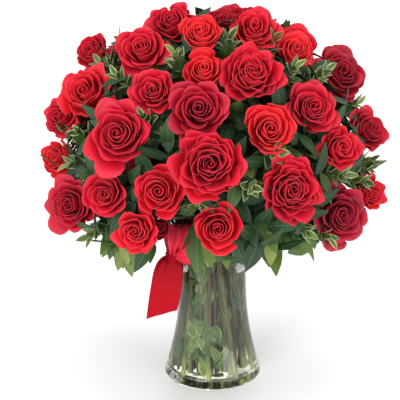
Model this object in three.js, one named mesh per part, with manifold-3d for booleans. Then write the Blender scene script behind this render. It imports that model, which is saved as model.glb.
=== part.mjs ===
/* Roses in a glass vase.
 *
 * A round dome of red roses on branching stems with green leaves between the heads, standing in a
 * waisted clear glass vase two thirds full of water, with a satin ribbon tied in a bow under the rim.
 *
 * Millimetres, +Z up. The origin is the middle of the vase's foot, on the surface it stands on, and
 * the front is towards -Y. Every piece is one closed solid and one named mesh:
 *   vase, water, ribbon        the holder, what it holds and the bow round its neck
 *   stems_1 .. stems_8         one eighth of the bunch each: stems, sepals and leaves grown together
 *   rose_01 .. rose_49         one head of petals each, seated on its sepals
 */
import * as THREE from 'three';
import { mergeVertices } from 'three/addons/utils/BufferGeometryUtils.js';
import Module from 'manifold-3d';

const wasm = await Module();
wasm.setup();

const { PI, sin, cos, sqrt, abs, min, max, floor, acos, atan2, hypot } = Math;
const TURN = 2 * PI;
const GOLDEN_TURN = PI * (3 - sqrt(5));
const degrees = (angle) => (angle * PI) / 180;
const vec = (x, y, z) => new THREE.Vector3(x, y, z);

// ---------------------------------------------------------------- driving dimensions

const GAP = 0.35; // running gap between pieces that touch in the real thing

const VASE = {
  height: 203,
  footRadius: 59,
  footHeight: 8,
  waistRadius: 41,
  waistHeight: 112,
  rimRadius: 52,
  wall: 4,
  floor: 7,
  sides: 18,
  heights: [8, 30, 57, 84, 112, 142, 175, 199],
};
const WATER_LEVEL = 142;

// The heads sit on a ball. The front of it is laid out as it looks from a little above and SEEN_FROM
// away, so what stands nearer is set closer in.
const DOME = { centre: vec(0, 0, 270), radius: 186, tilt: degrees(17), backRise: 0.9 };
const SEEN_FROM = 2400;
const OUTLINE_DEPTH = 19; // heads past the outline of the ball stand this far before its middle
const FOCUS = vec(0, 0, 236); // the heads face away from this point
const TURNED = 0.9; // and those from the sides to the front are turned this much to the front
const HEAD_SPACING = 0.97; // least distance between two heads as a share of their radii together
const SETTLE_ROUNDS = 80;

// Front heads: [across, up, radius] from the middle of the dome, then how far it stands out.
const FRONT_HEADS = [
  [-145, 136, 19, 0],
  [-86, 138, 29, 0],
  [-153, 86, 33, 2],
  [-91, 2, 14, -12],
  [-182, 58, 22, 0],
  [-113, 36, 34, 4],
  [-187, 8, 20, 0],
  [-170, -48, 29, 0],
  [-129, -35, 25, 4],
  [-66, -32, 27, 4],
  [-18, 66, 33, 2],
  [-5, 0, 38, 6],
  [-66, -76, 12, -14],
  [5, -76, 26, 4],
  [66, 42, 25, 2],
  [118, 68, 30, 3],
  [94, -30, 34, 4],
  [151, 20, 23, 0],
  [185, 42, 25, 0],
  [152, -60, 30, 0],
  [187, -35, 21, 0],
  [152, 109, 29, 0],
  [98, 137, 20, 4],
  [48, 162, 24, 4],
  [46, 109, 32, 2],
  [-12, 114, 23, 4],
  [-16, 158, 22, 6],
  [-49, 169, 26, -2],
  [-72, 87, 24, 2],
  [-92, -79, 23, 0],
  [11, 172, 16, -10],
];
// Back heads: [degrees round from the front, degrees above the middle, radius], to finish the dome,
// which is a little flatter there (backRise).
const BACK_HEADS = [
  [86, 60, 26],
  [112, 32, 33],
  [113, -7, 30],
  [136, 10, 35],
  [137, 45, 33],
  [159, -12, 31],
  [161, 25, 36],
  [150, 73, 26],
  [170, 57, 32],
  [184, 5, 34],
  [188, 41, 33],
  [207, -11, 33],
  [210, 22, 34],
  [216, 57, 34],
  [231, 4, 32],
  [236, 35, 35],
  [253, -8, 29],
  [255, 19, 30],
];
const LARGE_HEAD = 26.5; // heads at least this big have three rounds of petals, smaller ones two

const SECTORS = 8; // the bunch is built in wedges, so that no stem crosses into the next
const SECTOR_START = degrees(-8);
const STEM_RADIUS = 3.1;
const BRANCH_RADIUS = 2.3;
const SEPALS = 0.5; // reach of the sepals as a share of the head's radius
const STEM_HINT = vec(0.31, 0.17, 0.93); // which way the flats of the stems are turned
const TWIST = degrees(24); // how far the feet are turned from the neck
// Three stems in each wedge, from the middle outwards: [ring radius, height] at each station.
const STEM_ROUTES = [
  { foot: 17, knot: 10.4, leave: [11, 236] },
  { foot: 31, knot: 15, leave: [21, 226] },
  { foot: 42, knot: 19.6, leave: [36, 216] },
];
const KNOT_HEIGHT = 168;

const LEAF = { base: 146, reach: 50, length: 55, width: 27, thickness: 1.4, droop: 0.12, stalk: 1.5 };
// Along a blade: [share of its length, half width as a share of the width, fold, wave].
const BLADE = [
  [0.24, 0.4, 2.2, 0.7],
  [0.52, 0.5, 2.4, -0.9],
  [0.8, 0.27, 1.4, 0.6],
];
// Leaves behind: spots tried, how low they go, how deep room is looked for, the least room, how
// many headings are tried and how far a leaf leans.
const BACK_LEAVES = { spots: 110, span: 1.34, sunk: 14, room: 3.5, headings: 12, lean: degrees(37) };
// Hanging leaves by the rim and wider: [ring radius, height] of base and tip, turn, lift, width.
const RIM_LEAF = { base: [60, 217], tip: [88, 163], turn: 0.1, lift: 0.35, width: 27 };
const WIDE_LEAF = { base: [98, 214], tip: [137, 176], turn: -0.08, lift: 0.8, width: 30 };
// Leaves that hang under the lowest heads: [degrees round from the front, 1 by the rim or 0 wider].
const HANGING_LEAVES = [
  [-68, 0],
  [-43, 0],
  [-19, 1],
  [38, 0],
  [48, 1],
  [68, 0],
  [92, 1],
  [112, 0],
  [132, 1],
  [152, 0],
  [172, 1],
  [192, 0],
  [212, 1],
  [232, 0],
  [252, 1],
  [272, 0],
];
// Front leaves between the heads: [tip across, tip up, base across, base up, width], as the heads.
const FRONT_LEAVES = [
  [-214, 6, -150, -4, 24],
  [-168, 36, -132, 18, 20],
  [-122, 120, -96, 92, 20],
  [-42, 132, -36, 96, 22],
  [16, 148, 12, 110, 22],
  [90, 172, 66, 132, 24],
  [88, 104, 74, 84, 20],
  [136, 102, 108, 80, 20],
  [168, 78, 138, 60, 20],
  [210, 0, 148, -4, 26],
  [166, -20, 130, -8, 22],
  [30, 80, 20, 54, 20],
  [122, 12, 96, 16, 20],
  [-66, 34, -46, 20, 22],
  [-160, -12, -126, -2, 22],
  [44, -10, 30, -2, 22],
  [-28, -54, -18, -36, 20],
  [60, -80, 44, -56, 24],
  [-136, -102, -108, -70, 22],
  [128, -88, 112, -62, 20],
];

const RIBBON = { thickness: 1.2, bandHeight: 186, bandWidth: 13, bandProud: 2.4, turn: degrees(-54.7) };
// The wrap that holds the bow: [ring radius, height, half width]. The knot is the bow's middle.
const WRAP = [
  [54.6, 187, 6],
  [58.5, 175, 8],
  [59, 160, 7],
];
const KNOT = [58.5, 169];
// Loops and tails by the knot: [to the right, to the front, up, half width].
const TALL_LOOP = [
  [0, 4, 2, 7],
  [1, 8, 14, 13],
  [3, 11, 28, 16],
  [5, 17, 41, 17],
  [6, 24, 33, 16],
  [4, 21, 17, 12],
  [1, 7, 2, 7],
];
const SIDE_LOOP = [
  [2, 4, 2, 7],
  [9, 11, 9, 12],
  [18, 17, 15, 16],
  [27, 22, 18, 17],
  [24, 29, 11, 16],
  [14, 23, 4, 12],
  [3, 8, 0, 7],
];
const LONG_TAIL = [
  [0, 2, -3, 9],
  [-3, 5, -19, 13.5],
  [-8, 6, -45, 18],
  [-13, 5, -76, 20],
];
const SHORT_TAIL = [
  [0, -1, -3, 9],
  [-3, -3, -14, 12.5],
  [-7, -4, -34, 17],
  [-11, -4, -56, 19],
];
// Which way the width of each lies.
const LOOP_ACROSS = vec(1, -0.4, 0).normalize();
const SIDE_ACROSS = vec(-0.45, -0.4, 1).normalize();
const LONG_ACROSS = vec(1, -0.05, 0).normalize();
const SHORT_ACROSS = vec(1, 0.5, 0).normalize();

// ---------------------------------------------------------------- solids

/* A closed surface through rings of points, with an apex at each end. Each four-sided face is split
   along its shorter diagonal, so that the two sides of a thin blade are split alike. */
function loft(rings, startApex, endApex) {
  const count = rings[0].length;
  const points = [startApex, ...rings.flat(), endApex];
  const last = points.length - 1;
  const at = (ring, i) => 1 + ring * count + (i % count);
  const faces = [];
  for (let i = 0; i < count; i++) {
    faces.push(0, at(0, i + 1), at(0, i));
    for (let ring = 0; ring + 1 < rings.length; ring++) {
      const [a, b] = [at(ring, i), at(ring, i + 1)];
      const [c, d] = [at(ring + 1, i + 1), at(ring + 1, i)];
      const short = points[a].distanceTo(points[c]) < points[b].distanceTo(points[d]);
      faces.push(...(short ? [a, b, c, a, c, d] : [a, b, d, b, c, d]));
    }
    faces.push(last, at(rings.length - 1, i), at(rings.length - 1, i + 1));
  }
  const geometry = new THREE.BufferGeometry().setFromPoints(points);
  geometry.setIndex(faces);
  return geometry;
}

/* A three.js geometry as a manifold solid. */
function solidOf(geometry) {
  const bare = new THREE.BufferGeometry();
  bare.setAttribute('position', geometry.getAttribute('position'));
  bare.setIndex(geometry.index);
  const merged = mergeVertices(bare, 1e-4);
  const vertProperties = new Float32Array(merged.attributes.position.array);
  const triVerts = new Uint32Array(merged.index.array);
  return new wasm.Manifold(new wasm.Mesh({ numProp: 3, vertProperties, triVerts }));
}

function geometryOf(solid) {
  const mesh = solid.getMesh();
  const geometry = new THREE.BufferGeometry();
  geometry.setAttribute('position', new THREE.BufferAttribute(mesh.vertProperties, 3));
  geometry.setIndex(new THREE.BufferAttribute(mesh.triVerts, 1));
  geometry.computeVertexNormals();
  return geometry;
}

const overlap = (a, b) => a.intersect(b).volume() > 1e-4;

/* Two directions square to a third. */
function sidesOf(direction, hint = vec(0, 0, 1)) {
  const across = vec().crossVectors(hint, direction);
  if (across.lengthSq() < 1e-6) across.crossVectors(vec(1, 0, 0), direction);
  across.normalize();
  return [across, vec().crossVectors(direction, across)];
}

/* A body swept through stations: the middle of each, and the corners of its section as distances
   across and up. The width lies square to the path and to the station's face, or to `hint`. A last
   station that has no corners is a point. */
function sweep(stations, hint) {
  const last = stations.length - 1;
  const ringAt = ({ middle, corners, face = hint }, i) => {
    const before = stations[max(i - 1, 0)].middle;
    const after = stations[min(i + 1, last)].middle;
    const along = vec().subVectors(after, before).normalize();
    const [across, up] = sidesOf(along, face);
    return corners.map(([x, y]) =>
      middle.clone().addScaledVector(across, x).addScaledVector(up, y),
    );
  };
  const rings = stations.filter(({ corners }) => corners).map(ringAt);
  return solidOf(loft(rings, stations[0].middle, stations[last].middle));
}

const polygon = (sides, radius) =>
  Array.from({ length: sides }, (_, k) => {
    const angle = (TURN * (k + 0.5)) / sides;
    return [radius * cos(angle), radius * sin(angle)];
  });

// ---------------------------------------------------------------- vase and water

/* The outside: a foot that narrows to the waist, then a neck that opens to the rim. */
function vaseRadius(z) {
  const { footRadius, footHeight, waistRadius, waistHeight, rimRadius, height } = VASE;
  if (z < waistHeight) {
    const share = (waistHeight - z) / (waistHeight - footHeight);
    return waistRadius + (footRadius - waistRadius) * share ** 1.8;
  }
  const share = (z - waistHeight) / (height - waistHeight);
  return waistRadius + (rimRadius - waistRadius) * share ** 1.6;
}

function lathe(profile) {
  const points = profile.map(([r, z]) => new THREE.Vector2(r, z));
  return new THREE.LatheGeometry(points, VASE.sides).rotateX(PI / 2);
}

function makeVase() {
  const { heights, height, wall, footRadius } = VASE;
  const outside = heights.map((z) => [vaseRadius(z), z]);
  const inside = heights.slice(1).map((z) => [vaseRadius(z) - wall, z]);
  const rim = vaseRadius(height) - wall / 2;
  return lathe([
    [0, 0],
    [footRadius - 9, 0],
    [footRadius - 2, 2.5],
    ...outside,
    [rim, height],
    ...inside.reverse(),
    [footRadius - 12, VASE.floor + 1.5],
    [0, VASE.floor],
  ]);
}

function makeWater(holes) {
  const { heights, wall, footRadius } = VASE;
  const wet = heights.filter((z, i) => i > 0 && z <= WATER_LEVEL);
  const body = solidOf(
    lathe([
      [0, VASE.floor + GAP],
      [footRadius - 12 - GAP, VASE.floor + 1.5 + GAP],
      ...wet.map((z) => [vaseRadius(z) - wall - GAP, z]),
      [0, WATER_LEVEL],
    ]),
  );
  return body.subtract(wasm.Manifold.union(holes));
}

// ---------------------------------------------------------------- where the heads are

const seenRight = vec(1, 0, 0);
const seenUp = vec(0, sin(DOME.tilt), cos(DOME.tilt));
const seenFront = vec(0, -cos(DOME.tilt), sin(DOME.tilt));

/* A place on a ball round the dome's middle, from how it looks from the front. */
function seenPlace(across, up, reach) {
  const depth = sqrt(max(reach ** 2 - hypot(across, up) ** 2, OUTLINE_DEPTH ** 2));
  const closer = 1 - depth / SEEN_FROM;
  return DOME.centre
    .clone()
    .addScaledVector(seenRight, across * closer)
    .addScaledVector(seenUp, up * closer)
    .addScaledVector(seenFront, depth);
}

/* A head faces away from the focus. From the sides to the front it is turned to the front as well,
   and behind the sides that fades out. */
function facing(centre) {
  const out = vec().subVectors(centre, FOCUS).normalize();
  const share = min(max((out.dot(seenFront) + 0.5) / 0.5, 0), 1);
  return out.addScaledVector(seenFront, TURNED * share).normalize();
}

function headPlaces() {
  const front = FRONT_HEADS.map(([across, up, radius, out]) => {
    return { centre: seenPlace(across, up, DOME.radius + out), radius, inFront: true };
  });
  const back = BACK_HEADS.map(([round, above, radius]) => {
    const [turn, rise] = [degrees(round), degrees(above)];
    const out = vec(sin(turn) * cos(rise), -cos(turn) * cos(rise), DOME.backRise * sin(rise));
    return { centre: DOME.centre.clone().addScaledVector(out, DOME.radius), radius, inFront: false };
  });
  return [...front, ...back];
}

/* Heads that press on each other give way until their petals are clear. Two front heads give way
   forwards and backwards only, and a head behind gives way to one in front. */
function settle(heads) {
  for (let round = 0; round < SETTLE_ROUNDS; round++) {
    heads.forEach((a, i) => {
      for (const b of heads.slice(i + 1)) {
        const need = HEAD_SPACING * (a.radius + b.radius) + 1;
        const apart = vec().subVectors(b.centre, a.centre);
        let short = need - apart.length();
        if (short <= 0) continue;
        let share = a.inFront && !b.inFront ? 0 : b.radius / (a.radius + b.radius);
        if (a.inFront && b.inFront) {
          const depth = apart.dot(seenFront);
          const beside = apart.lengthSq() - depth * depth;
          short = sqrt(need * need - beside) - abs(depth);
          apart.copy(seenFront).multiplyScalar(depth < 0 ? -1 : 1);
        } else {
          apart.normalize();
        }
        a.centre.addScaledVector(apart, -short * share);
        b.centre.addScaledVector(apart, short * (1 - share));
      }
    });
  }
  return heads;
}

/* The wedge that a point is in. */
function sectorOf(point) {
  const turn = atan2(point.x, -point.y) - SECTOR_START;
  return floor((((turn % TURN) + TURN) % TURN) / (TURN / SECTORS));
}

const heads = settle(headPlaces()).map(({ centre, radius }, index) => {
  const large = radius > LARGE_HEAD;
  const height = radius * (large ? 0.98 : 1.16);
  const axis = facing(centre);
  const base = centre.clone().addScaledVector(axis, -0.47 * height);
  const sector = sectorOf(centre);
  const lean = acos(vec().subVectors(centre, DOME.centre).normalize().z);
  return { index, centre, radius, large, height, axis, base, sector, lean, roll: index * GOLDEN_TURN };
});

// ---------------------------------------------------------------- rose heads

// Rounds of petals from the stem upwards: share of radius, share of height, depth of the lobes,
// phase of the five petals. Each rim is followed by the groove that parts it from the next round.
const LARGE_ROUNDS = [
  [0.15, 0.0, 0, 0],
  [0.6, 0.24, 0.03, 0],
  [0.92, 0.62, 0.09, 0],
  [0.66, 0.46, 0.05, 0],
  [0.73, 0.88, 0.09, 0.5],
  [0.44, 0.66, 0.05, 0.5],
  [0.4, 1.0, 0.12, 0.2],
];
const SMALL_ROUNDS = [
  [0.17, 0.0, 0, 0],
  [0.68, 0.28, 0.03, 0],
  [0.91, 0.74, 0.1, 0],
  [0.54, 0.56, 0.05, 0],
  [0.5, 0.98, 0.14, 0.5],
];

/* Nested cups with five-lobed rims, all one surface: from the seat out to the first rim, down into
   the groove behind it, up to the next rim, and so on to the bud in the middle. */
function makeHead({ base, axis, radius, height, large, roll }) {
  const steps = large ? 12 : 10;
  const petals = large ? 4 : 5;
  const [across, up] = sidesOf(axis);
  const rings = (large ? LARGE_ROUNDS : SMALL_ROUNDS).map(([share, rise, lobe, phase]) =>
    Array.from({ length: steps }, (_, i) => {
      const petal = ((petals * i) / steps + phase) % 1;
      const swell = 1 - 2 * abs(2 * petal - 1) ** 2;
      const angle = roll + (TURN * i) / steps + 0.5 * rise;
      const out = radius * share * (1 + lobe * swell);
      return base
        .clone()
        .addScaledVector(across, out * cos(angle))
        .addScaledVector(up, out * sin(angle))
        .addScaledVector(axis, height * rise * (1 + 0.35 * lobe * swell));
    }),
  );
  return loft(rings, base, base.clone().addScaledVector(axis, height * 0.97));
}

// ---------------------------------------------------------------- stems

const around = (radius, turn, z) => vec(radius * sin(turn), -radius * cos(turn), z);
const sectorMiddle = (sector) => SECTOR_START + (TURN * (sector + 0.5)) / SECTORS;

/* Each wedge's heads are shared among its three stems, the highest to the middle one. */
function stemPlans() {
  const plans = [];
  for (let sector = 0; sector < SECTORS; sector++) {
    const mine = heads.filter((head) => head.sector === sector).sort((a, b) => a.lean - b.lean);
    const turn = sectorMiddle(sector);
    STEM_ROUTES.forEach(({ foot, knot, leave }, rank) => {
      const from = floor((mine.length * rank) / STEM_ROUTES.length);
      const to = floor((mine.length * (rank + 1)) / STEM_ROUTES.length);
      const carried = mine.slice(from, to);
      const route = [
        around(foot, turn + TWIST, VASE.floor + 2.4),
        around(knot, turn, KNOT_HEIGHT),
        around(leave[0], turn, leave[1]),
      ];
      const target = vec();
      carried.forEach((head) => target.addScaledVector(head.base, 1 / carried.length));
      const fork = route[2].clone().lerp(target, carried.length > 1 ? 0.42 : 0.5);
      plans.push({ sector, route: [...route, fork], fork, carried });
    });
  }
  return plans;
}

const elbowOf = (head) => head.base.clone().addScaledVector(head.axis, -26);

/* The end of a branch: round the elbow, then the hip, which opens into the sepals under the head. */
function branchEnd(head) {
  const below = (distance) => head.base.clone().addScaledVector(head.axis, -distance);
  return [
    { middle: elbowOf(head), corners: polygon(5, BRANCH_RADIUS) },
    { middle: below(13), corners: polygon(5, BRANCH_RADIUS + 0.4) },
    { middle: below(3.2), corners: polygon(5, SEPALS * head.radius) },
    { middle: below(GAP) },
  ];
}

/* One stem from its foot to its first head, and a side branch for each further head. */
function makeStem({ route, fork, carried }) {
  const [first, ...others] = carried;
  const trunk = route.map((middle) => ({ middle, corners: polygon(5, STEM_RADIUS) }));
  const parts = [sweep([...trunk, ...branchEnd(first)], STEM_HINT)];
  for (const head of others) {
    const start = { middle: fork, corners: polygon(5, BRANCH_RADIUS) };
    parts.push(sweep([start, ...branchEnd(head)], STEM_HINT));
  }
  return wasm.Manifold.union(parts);
}

// ---------------------------------------------------------------- leaves

/* A folded, waved blade on its stalk: diamond sections from the stem to the tip. */
function makeLeaf({ root, base, tip, normal, width }) {
  const half = LEAF.thickness / 2;
  const length = base.distanceTo(tip);
  const place = (t) => base.clone().lerp(tip, t).addScaledVector(normal, -LEAF.droop * length * t * t);
  const blade = BLADE.map(([t, side, fold, wave]) => {
    const corners = [
      [side * width, fold - wave],
      [0, half],
      [-side * width, fold + wave],
      [0, -half],
    ];
    return { middle: place(t), corners };
  });
  const stalk = polygon(4, LEAF.stalk);
  const ends = [root, base].map((middle) => ({ middle, corners: stalk }));
  return sweep([...ends, ...blade, { middle: place(1) }], normal);
}

/* How far a point is from the nearest petals. */
const roomAt = (point) => min(...heads.map((head) => point.distanceTo(head.centre) - head.radius));

/* Leaves placed by hand in the front. */
function frontLeaves() {
  return FRONT_LEAVES.map(([tipAcross, tipUp, baseAcross, baseUp, width]) => {
    const base = seenPlace(baseAcross, baseUp, LEAF.base);
    const tip = seenPlace(tipAcross, tipUp, LEAF.base + LEAF.reach);
    const normal = vec().subVectors(tip, base).normalize().cross(seenRight);
    const out = vec().subVectors(base, DOME.centre).normalize();
    normal.lerp(out, 0.5).normalize();
    return { base, tip, normal, width };
  });
}

/* Spots spread evenly over the back, and at each one the heading that keeps clear of the heads. */
function backLeaves() {
  const { spots, span, sunk, room, headings, lean } = BACK_LEAVES;
  const found = [];
  for (let i = 0; i < spots; i++) {
    const height = 1 - (span * (i + 0.5)) / spots;
    const ring = sqrt(1 - height * height);
    const turn = i * GOLDEN_TURN;
    const out = vec(ring * cos(turn), ring * sin(turn), height);
    const spot = DOME.centre.clone().addScaledVector(out, DOME.radius - sunk);
    if (out.dot(seenFront) > 0 || roomAt(spot) < room) continue;
    const base = DOME.centre.clone().addScaledVector(out, LEAF.base);
    const [across, up] = sidesOf(out);
    let best = { clear: -Infinity };
    for (let k = 0; k < headings; k++) {
      const heading = (TURN * k) / headings + i;
      const aside = across.clone().multiplyScalar(cos(heading)).addScaledVector(up, sin(heading));
      const along = out.clone().multiplyScalar(cos(lean)).addScaledVector(aside, sin(lean));
      const tip = base.clone().addScaledVector(along, LEAF.length);
      const middle = base.clone().addScaledVector(along, 0.6 * LEAF.length);
      const clear = min(roomAt(tip), roomAt(middle) - 5);
      if (clear > best.clear) best = { clear, tip, aside };
    }
    const normal = out.clone().multiplyScalar(sin(lean)).addScaledVector(best.aside, -cos(lean));
    found.push({ base, tip: best.tip, normal, width: LEAF.width });
  }
  return found;
}

/* Leaves that hang outwards and down, under the lowest heads and over the rim. */
function hangingLeaves() {
  return HANGING_LEAVES.map(([round, byRim]) => {
    const { base, tip, turn, lift, width } = byRim ? RIM_LEAF : WIDE_LEAF;
    const at = degrees(round);
    return {
      base: around(base[0], at, base[1]),
      tip: around(tip[0], at + turn, tip[1]),
      normal: around(1, at, lift),
      width,
      hangs: true,
    };
  });
}

/* The nearest point of a wedge's stems from which a leaf can grow. */
function rootOf(leaf, plans) {
  const points = leaf.hangs
    ? plans.map(({ route }) => route[2].clone().lerp(route[3], 0.35))
    : plans.flatMap(({ carried }) => carried.map(elbowOf));
  return points.sort((a, b) => a.distanceTo(leaf.base) - b.distanceTo(leaf.base))[0];
}

/* Stems first, then each leaf that stays clear of everything but its own stem. */
function makeGreenery(roseSolids, vaseSolid, ribbonSolid) {
  const plans = stemPlans();
  const sectors = Array.from({ length: SECTORS }, (_, sector) => {
    const mine = plans.filter((plan) => plan.sector === sector);
    return { mine, solid: wasm.Manifold.union(mine.map(makeStem)) };
  });
  const fixed = [...roseSolids, vaseSolid, ribbonSolid];
  for (const leaf of [...hangingLeaves(), ...frontLeaves(), ...backLeaves()]) {
    const own = sectors[sectorOf(leaf.base)];
    const blade = makeLeaf({ ...leaf, root: rootOf(leaf, own.mine) });
    const others = sectors.filter((other) => other !== own).map((other) => other.solid);
    if ([...fixed, ...others].some((solid) => overlap(solid, blade))) continue;
    own.solid = own.solid.add(blade);
  }
  const holes = plans.map(({ route: [foot, knot] }) => {
    const corners = polygon(5, STEM_RADIUS + 0.7);
    const below = { middle: knot.clone().lerp(foot, 1.06), corners };
    return sweep([below, { middle: knot, corners }], STEM_HINT);
  });
  return { solids: sectors.map(({ solid }) => solid), holes };
}

// ---------------------------------------------------------------- ribbon

/* A flat strip through rows of places by the knot, with its width along `across`. */
function strip(rows, across) {
  const half = RIBBON.thickness / 2;
  const knot = around(KNOT[0], RIBBON.turn, KNOT[1]);
  const middles = rows.map(([right, front, up]) => knot.clone().add(vec(right, -front, up)));
  const stations = rows.map(([, , , side], i) => {
    const before = middles[max(i - 1, 0)];
    const after = middles[min(i + 1, rows.length - 1)];
    const corners = [
      [side, -half],
      [side, half],
      [-side, half],
      [-side, -half],
    ];
    return { middle: middles[i], corners, face: vec().subVectors(after, before).cross(across) };
  });
  return sweep(stations);
}

/* The band round the neck, the bow's two loops, the wrap that holds them, and the two tails. */
function makeRibbon() {
  const { bandHeight, bandWidth, bandProud, turn } = RIBBON;
  const low = bandHeight - bandWidth / 2;
  const high = bandHeight + bandWidth / 2;
  const skin = (z) => vaseRadius(z) + 0.2 + GAP;
  const band = lathe([
    [skin(low), low],
    [skin(low) + bandProud, low],
    [skin(high) + bandProud, high],
    [skin(high), high],
    [skin(low), low],
  ]);
  const wrap = sweep(
    WRAP.map(([ring, z, side]) => ({ middle: around(ring, turn, z), corners: polygon(4, side) })),
    around(1, turn, 0),
  );
  return wasm.Manifold.union([
    solidOf(band),
    wrap,
    strip(TALL_LOOP, LOOP_ACROSS),
    strip(SIDE_LOOP, SIDE_ACROSS),
    strip(LONG_TAIL, LONG_ACROSS),
    strip(SHORT_TAIL, SHORT_ACROSS),
  ]);
}

// ---------------------------------------------------------------- the object

const clear = { transparent: true, opacity: 0.4 };
const glass = new THREE.MeshStandardMaterial({ color: 0xdfeee8, roughness: 0.05, ...clear });
const wet = new THREE.MeshStandardMaterial({ color: 0xe4efe6, roughness: 0.02, ...clear });
const satin = new THREE.MeshStandardMaterial({ color: 0xd0142a, roughness: 0.35 });
const leafGreen = new THREE.MeshStandardMaterial({ color: 0x2f5a2a, roughness: 0.5 });
const petalRed = new THREE.MeshStandardMaterial({ color: 0xb80f22, roughness: 0.6 });

const roses = new THREE.Group();
roses.name = 'roses_in_a_vase';
const put = (name, geometry, material) => {
  const mesh = new THREE.Mesh(geometry, material);
  mesh.name = name;
  roses.add(mesh);
};

const vaseGeometry = makeVase();
const ribbonSolid = makeRibbon();
const headGeometries = heads.map(makeHead);
const greenery = makeGreenery(headGeometries.map(solidOf), solidOf(vaseGeometry), ribbonSolid);

put('vase', vaseGeometry, glass);
put('water', geometryOf(makeWater(greenery.holes)), wet);
put('ribbon', geometryOf(ribbonSolid), satin);
greenery.solids.forEach((solid, i) => put(`stems_${i + 1}`, geometryOf(solid), leafGreen));
headGeometries.forEach((geometry, i) => {
  put(`rose_${String(i + 1).padStart(2, '0')}`, geometry, petalRed);
});

export default roses;
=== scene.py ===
"""Roses in a glass vase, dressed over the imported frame.

Every head of petals, the stems with their sepals, the leaves, the variegated sprigs, the ribbon, the
water and the glass are surfaces worked out with numpy, in metres, in the frame's own place. The heads
are read from the frame's nodes; the stems and leaves follow the same rules as the solids do.
"""

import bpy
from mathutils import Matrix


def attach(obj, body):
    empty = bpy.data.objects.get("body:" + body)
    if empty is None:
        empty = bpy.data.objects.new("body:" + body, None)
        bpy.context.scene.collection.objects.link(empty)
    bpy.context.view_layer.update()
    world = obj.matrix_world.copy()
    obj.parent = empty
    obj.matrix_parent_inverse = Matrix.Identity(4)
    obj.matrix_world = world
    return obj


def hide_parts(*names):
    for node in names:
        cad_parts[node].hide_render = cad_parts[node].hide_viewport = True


bl_info = {
    "name": "Roses in a vase",
    "version": (1, 0, 0),
    "blender": (4, 5, 0),
    "location": "View3D > Sidebar > Bouquet",
    "description": "Builds a bouquet of red roses in a glass vase with a satin bow",
    "category": "Add Mesh",
}

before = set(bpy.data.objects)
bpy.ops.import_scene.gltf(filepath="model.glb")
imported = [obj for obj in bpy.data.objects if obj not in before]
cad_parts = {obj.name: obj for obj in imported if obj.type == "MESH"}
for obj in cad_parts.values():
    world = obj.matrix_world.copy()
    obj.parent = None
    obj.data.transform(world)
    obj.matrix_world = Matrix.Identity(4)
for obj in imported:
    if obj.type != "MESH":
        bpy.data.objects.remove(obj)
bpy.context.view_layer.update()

import math

import bpy
import numpy as np

TURN = 2 * math.pi
GOLDEN_TURN = math.pi * (3 - math.sqrt(5))
UP = np.array([0.0, 0.0, 1.0])
MM = 0.001

# ---------------------------------------------------------------- the frame's driving sizes, metres

# The dome: the middle and radius of the ball that the heads lie on, and the lower point that they
# look away from.
DOME_CENTRE = np.array([0.0, 0.0, 0.270])
DOME_RADIUS = 0.186
FOCUS = np.array([0.0, 0.0, 0.236])
# The usual view is from the front and a little above: its right, its up, the way towards whoever
# looks, and how far away they are.
FRONT_TILT = math.radians(17)
SEEN_RIGHT = np.array([1.0, 0.0, 0.0])
SEEN_UP = np.array([0.0, math.sin(FRONT_TILT), math.cos(FRONT_TILT)])
SEEN_FRONT = np.array([0.0, -math.cos(FRONT_TILT), math.sin(FRONT_TILT)])
SEEN_FROM = 2.4
# What is seen on the ball's outline or outside it lies this far in front of the ball's middle.
OUTLINE_DEPTH = 0.019
# How strongly the heads turn to the front.
TURNED = 0.9
# Heads above this radius are large ones. Then the height of large and of small ones over the radius,
# where a head's middle is up its height, and the widest ring of its solid over the radius.
LARGE_HEAD = 0.0265
LARGE_RISE = 0.98
SMALL_RISE = 1.16
HEAD_MIDDLE = 0.47
WIDEST_RING = 1.002
# A head's seat is made of the points no further than this above its lowest one.
SEAT_DEPTH = 0.0007

# The stems come in wedges, three to each. They cross a little in the vase: their feet stand a twist
# further round than where they are tied.
SECTORS = 8
SECTOR_START = math.radians(-8)
STEM_TWIST = math.radians(24)
TIE_HEIGHT = 0.168
FOOT_HEIGHT = 0.0094
# Each stem of a wedge: radius of its foot, radius where tied, (radius, height) where it spreads, all
# from the vase's axis.
STEM_ROUTES = [
    (0.017, 0.0104, (0.011, 0.236)),
    (0.031, 0.0150, (0.021, 0.226)),
    (0.042, 0.0196, (0.036, 0.216)),
]

# How far along from there to its heads a stem forks, for several heads and for one.
FORK_SHARE = 0.42
SINGLE_SHARE = 0.5
# A branch ends in places this far below the seat of its head, along the head's axis.
BRANCH_END = [0.026, 0.012, 0.0]

# The glass: outside radii at the foot, waist and rim with their heights, the wall and the floor. Then
# where the inner wall ends above the floor, and the radius of the round corner between them.
VASE_FOOT = 0.059
VASE_FOOT_HEIGHT = 0.008
VASE_WAIST = 0.041
VASE_WAIST_HEIGHT = 0.112
VASE_RIM = 0.052
VASE_HEIGHT = 0.203
VASE_WALL = 0.0038
VASE_FLOOR = 0.007
VASE_CORNER = 0.012
VASE_CORNER_ROUND = 0.011
WATER_LEVEL = 0.142

# The ribbon's band round the neck, then the middle of the bow's knot: its distance from the vase's
# axis, its turn from the front and its height.
BAND_HEIGHT = 0.186
BAND_WIDTH = 0.013
BOW_REACH = 0.0585
BOW_TURN = math.radians(-54.7)
BOW_HEIGHT = 0.169
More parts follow.
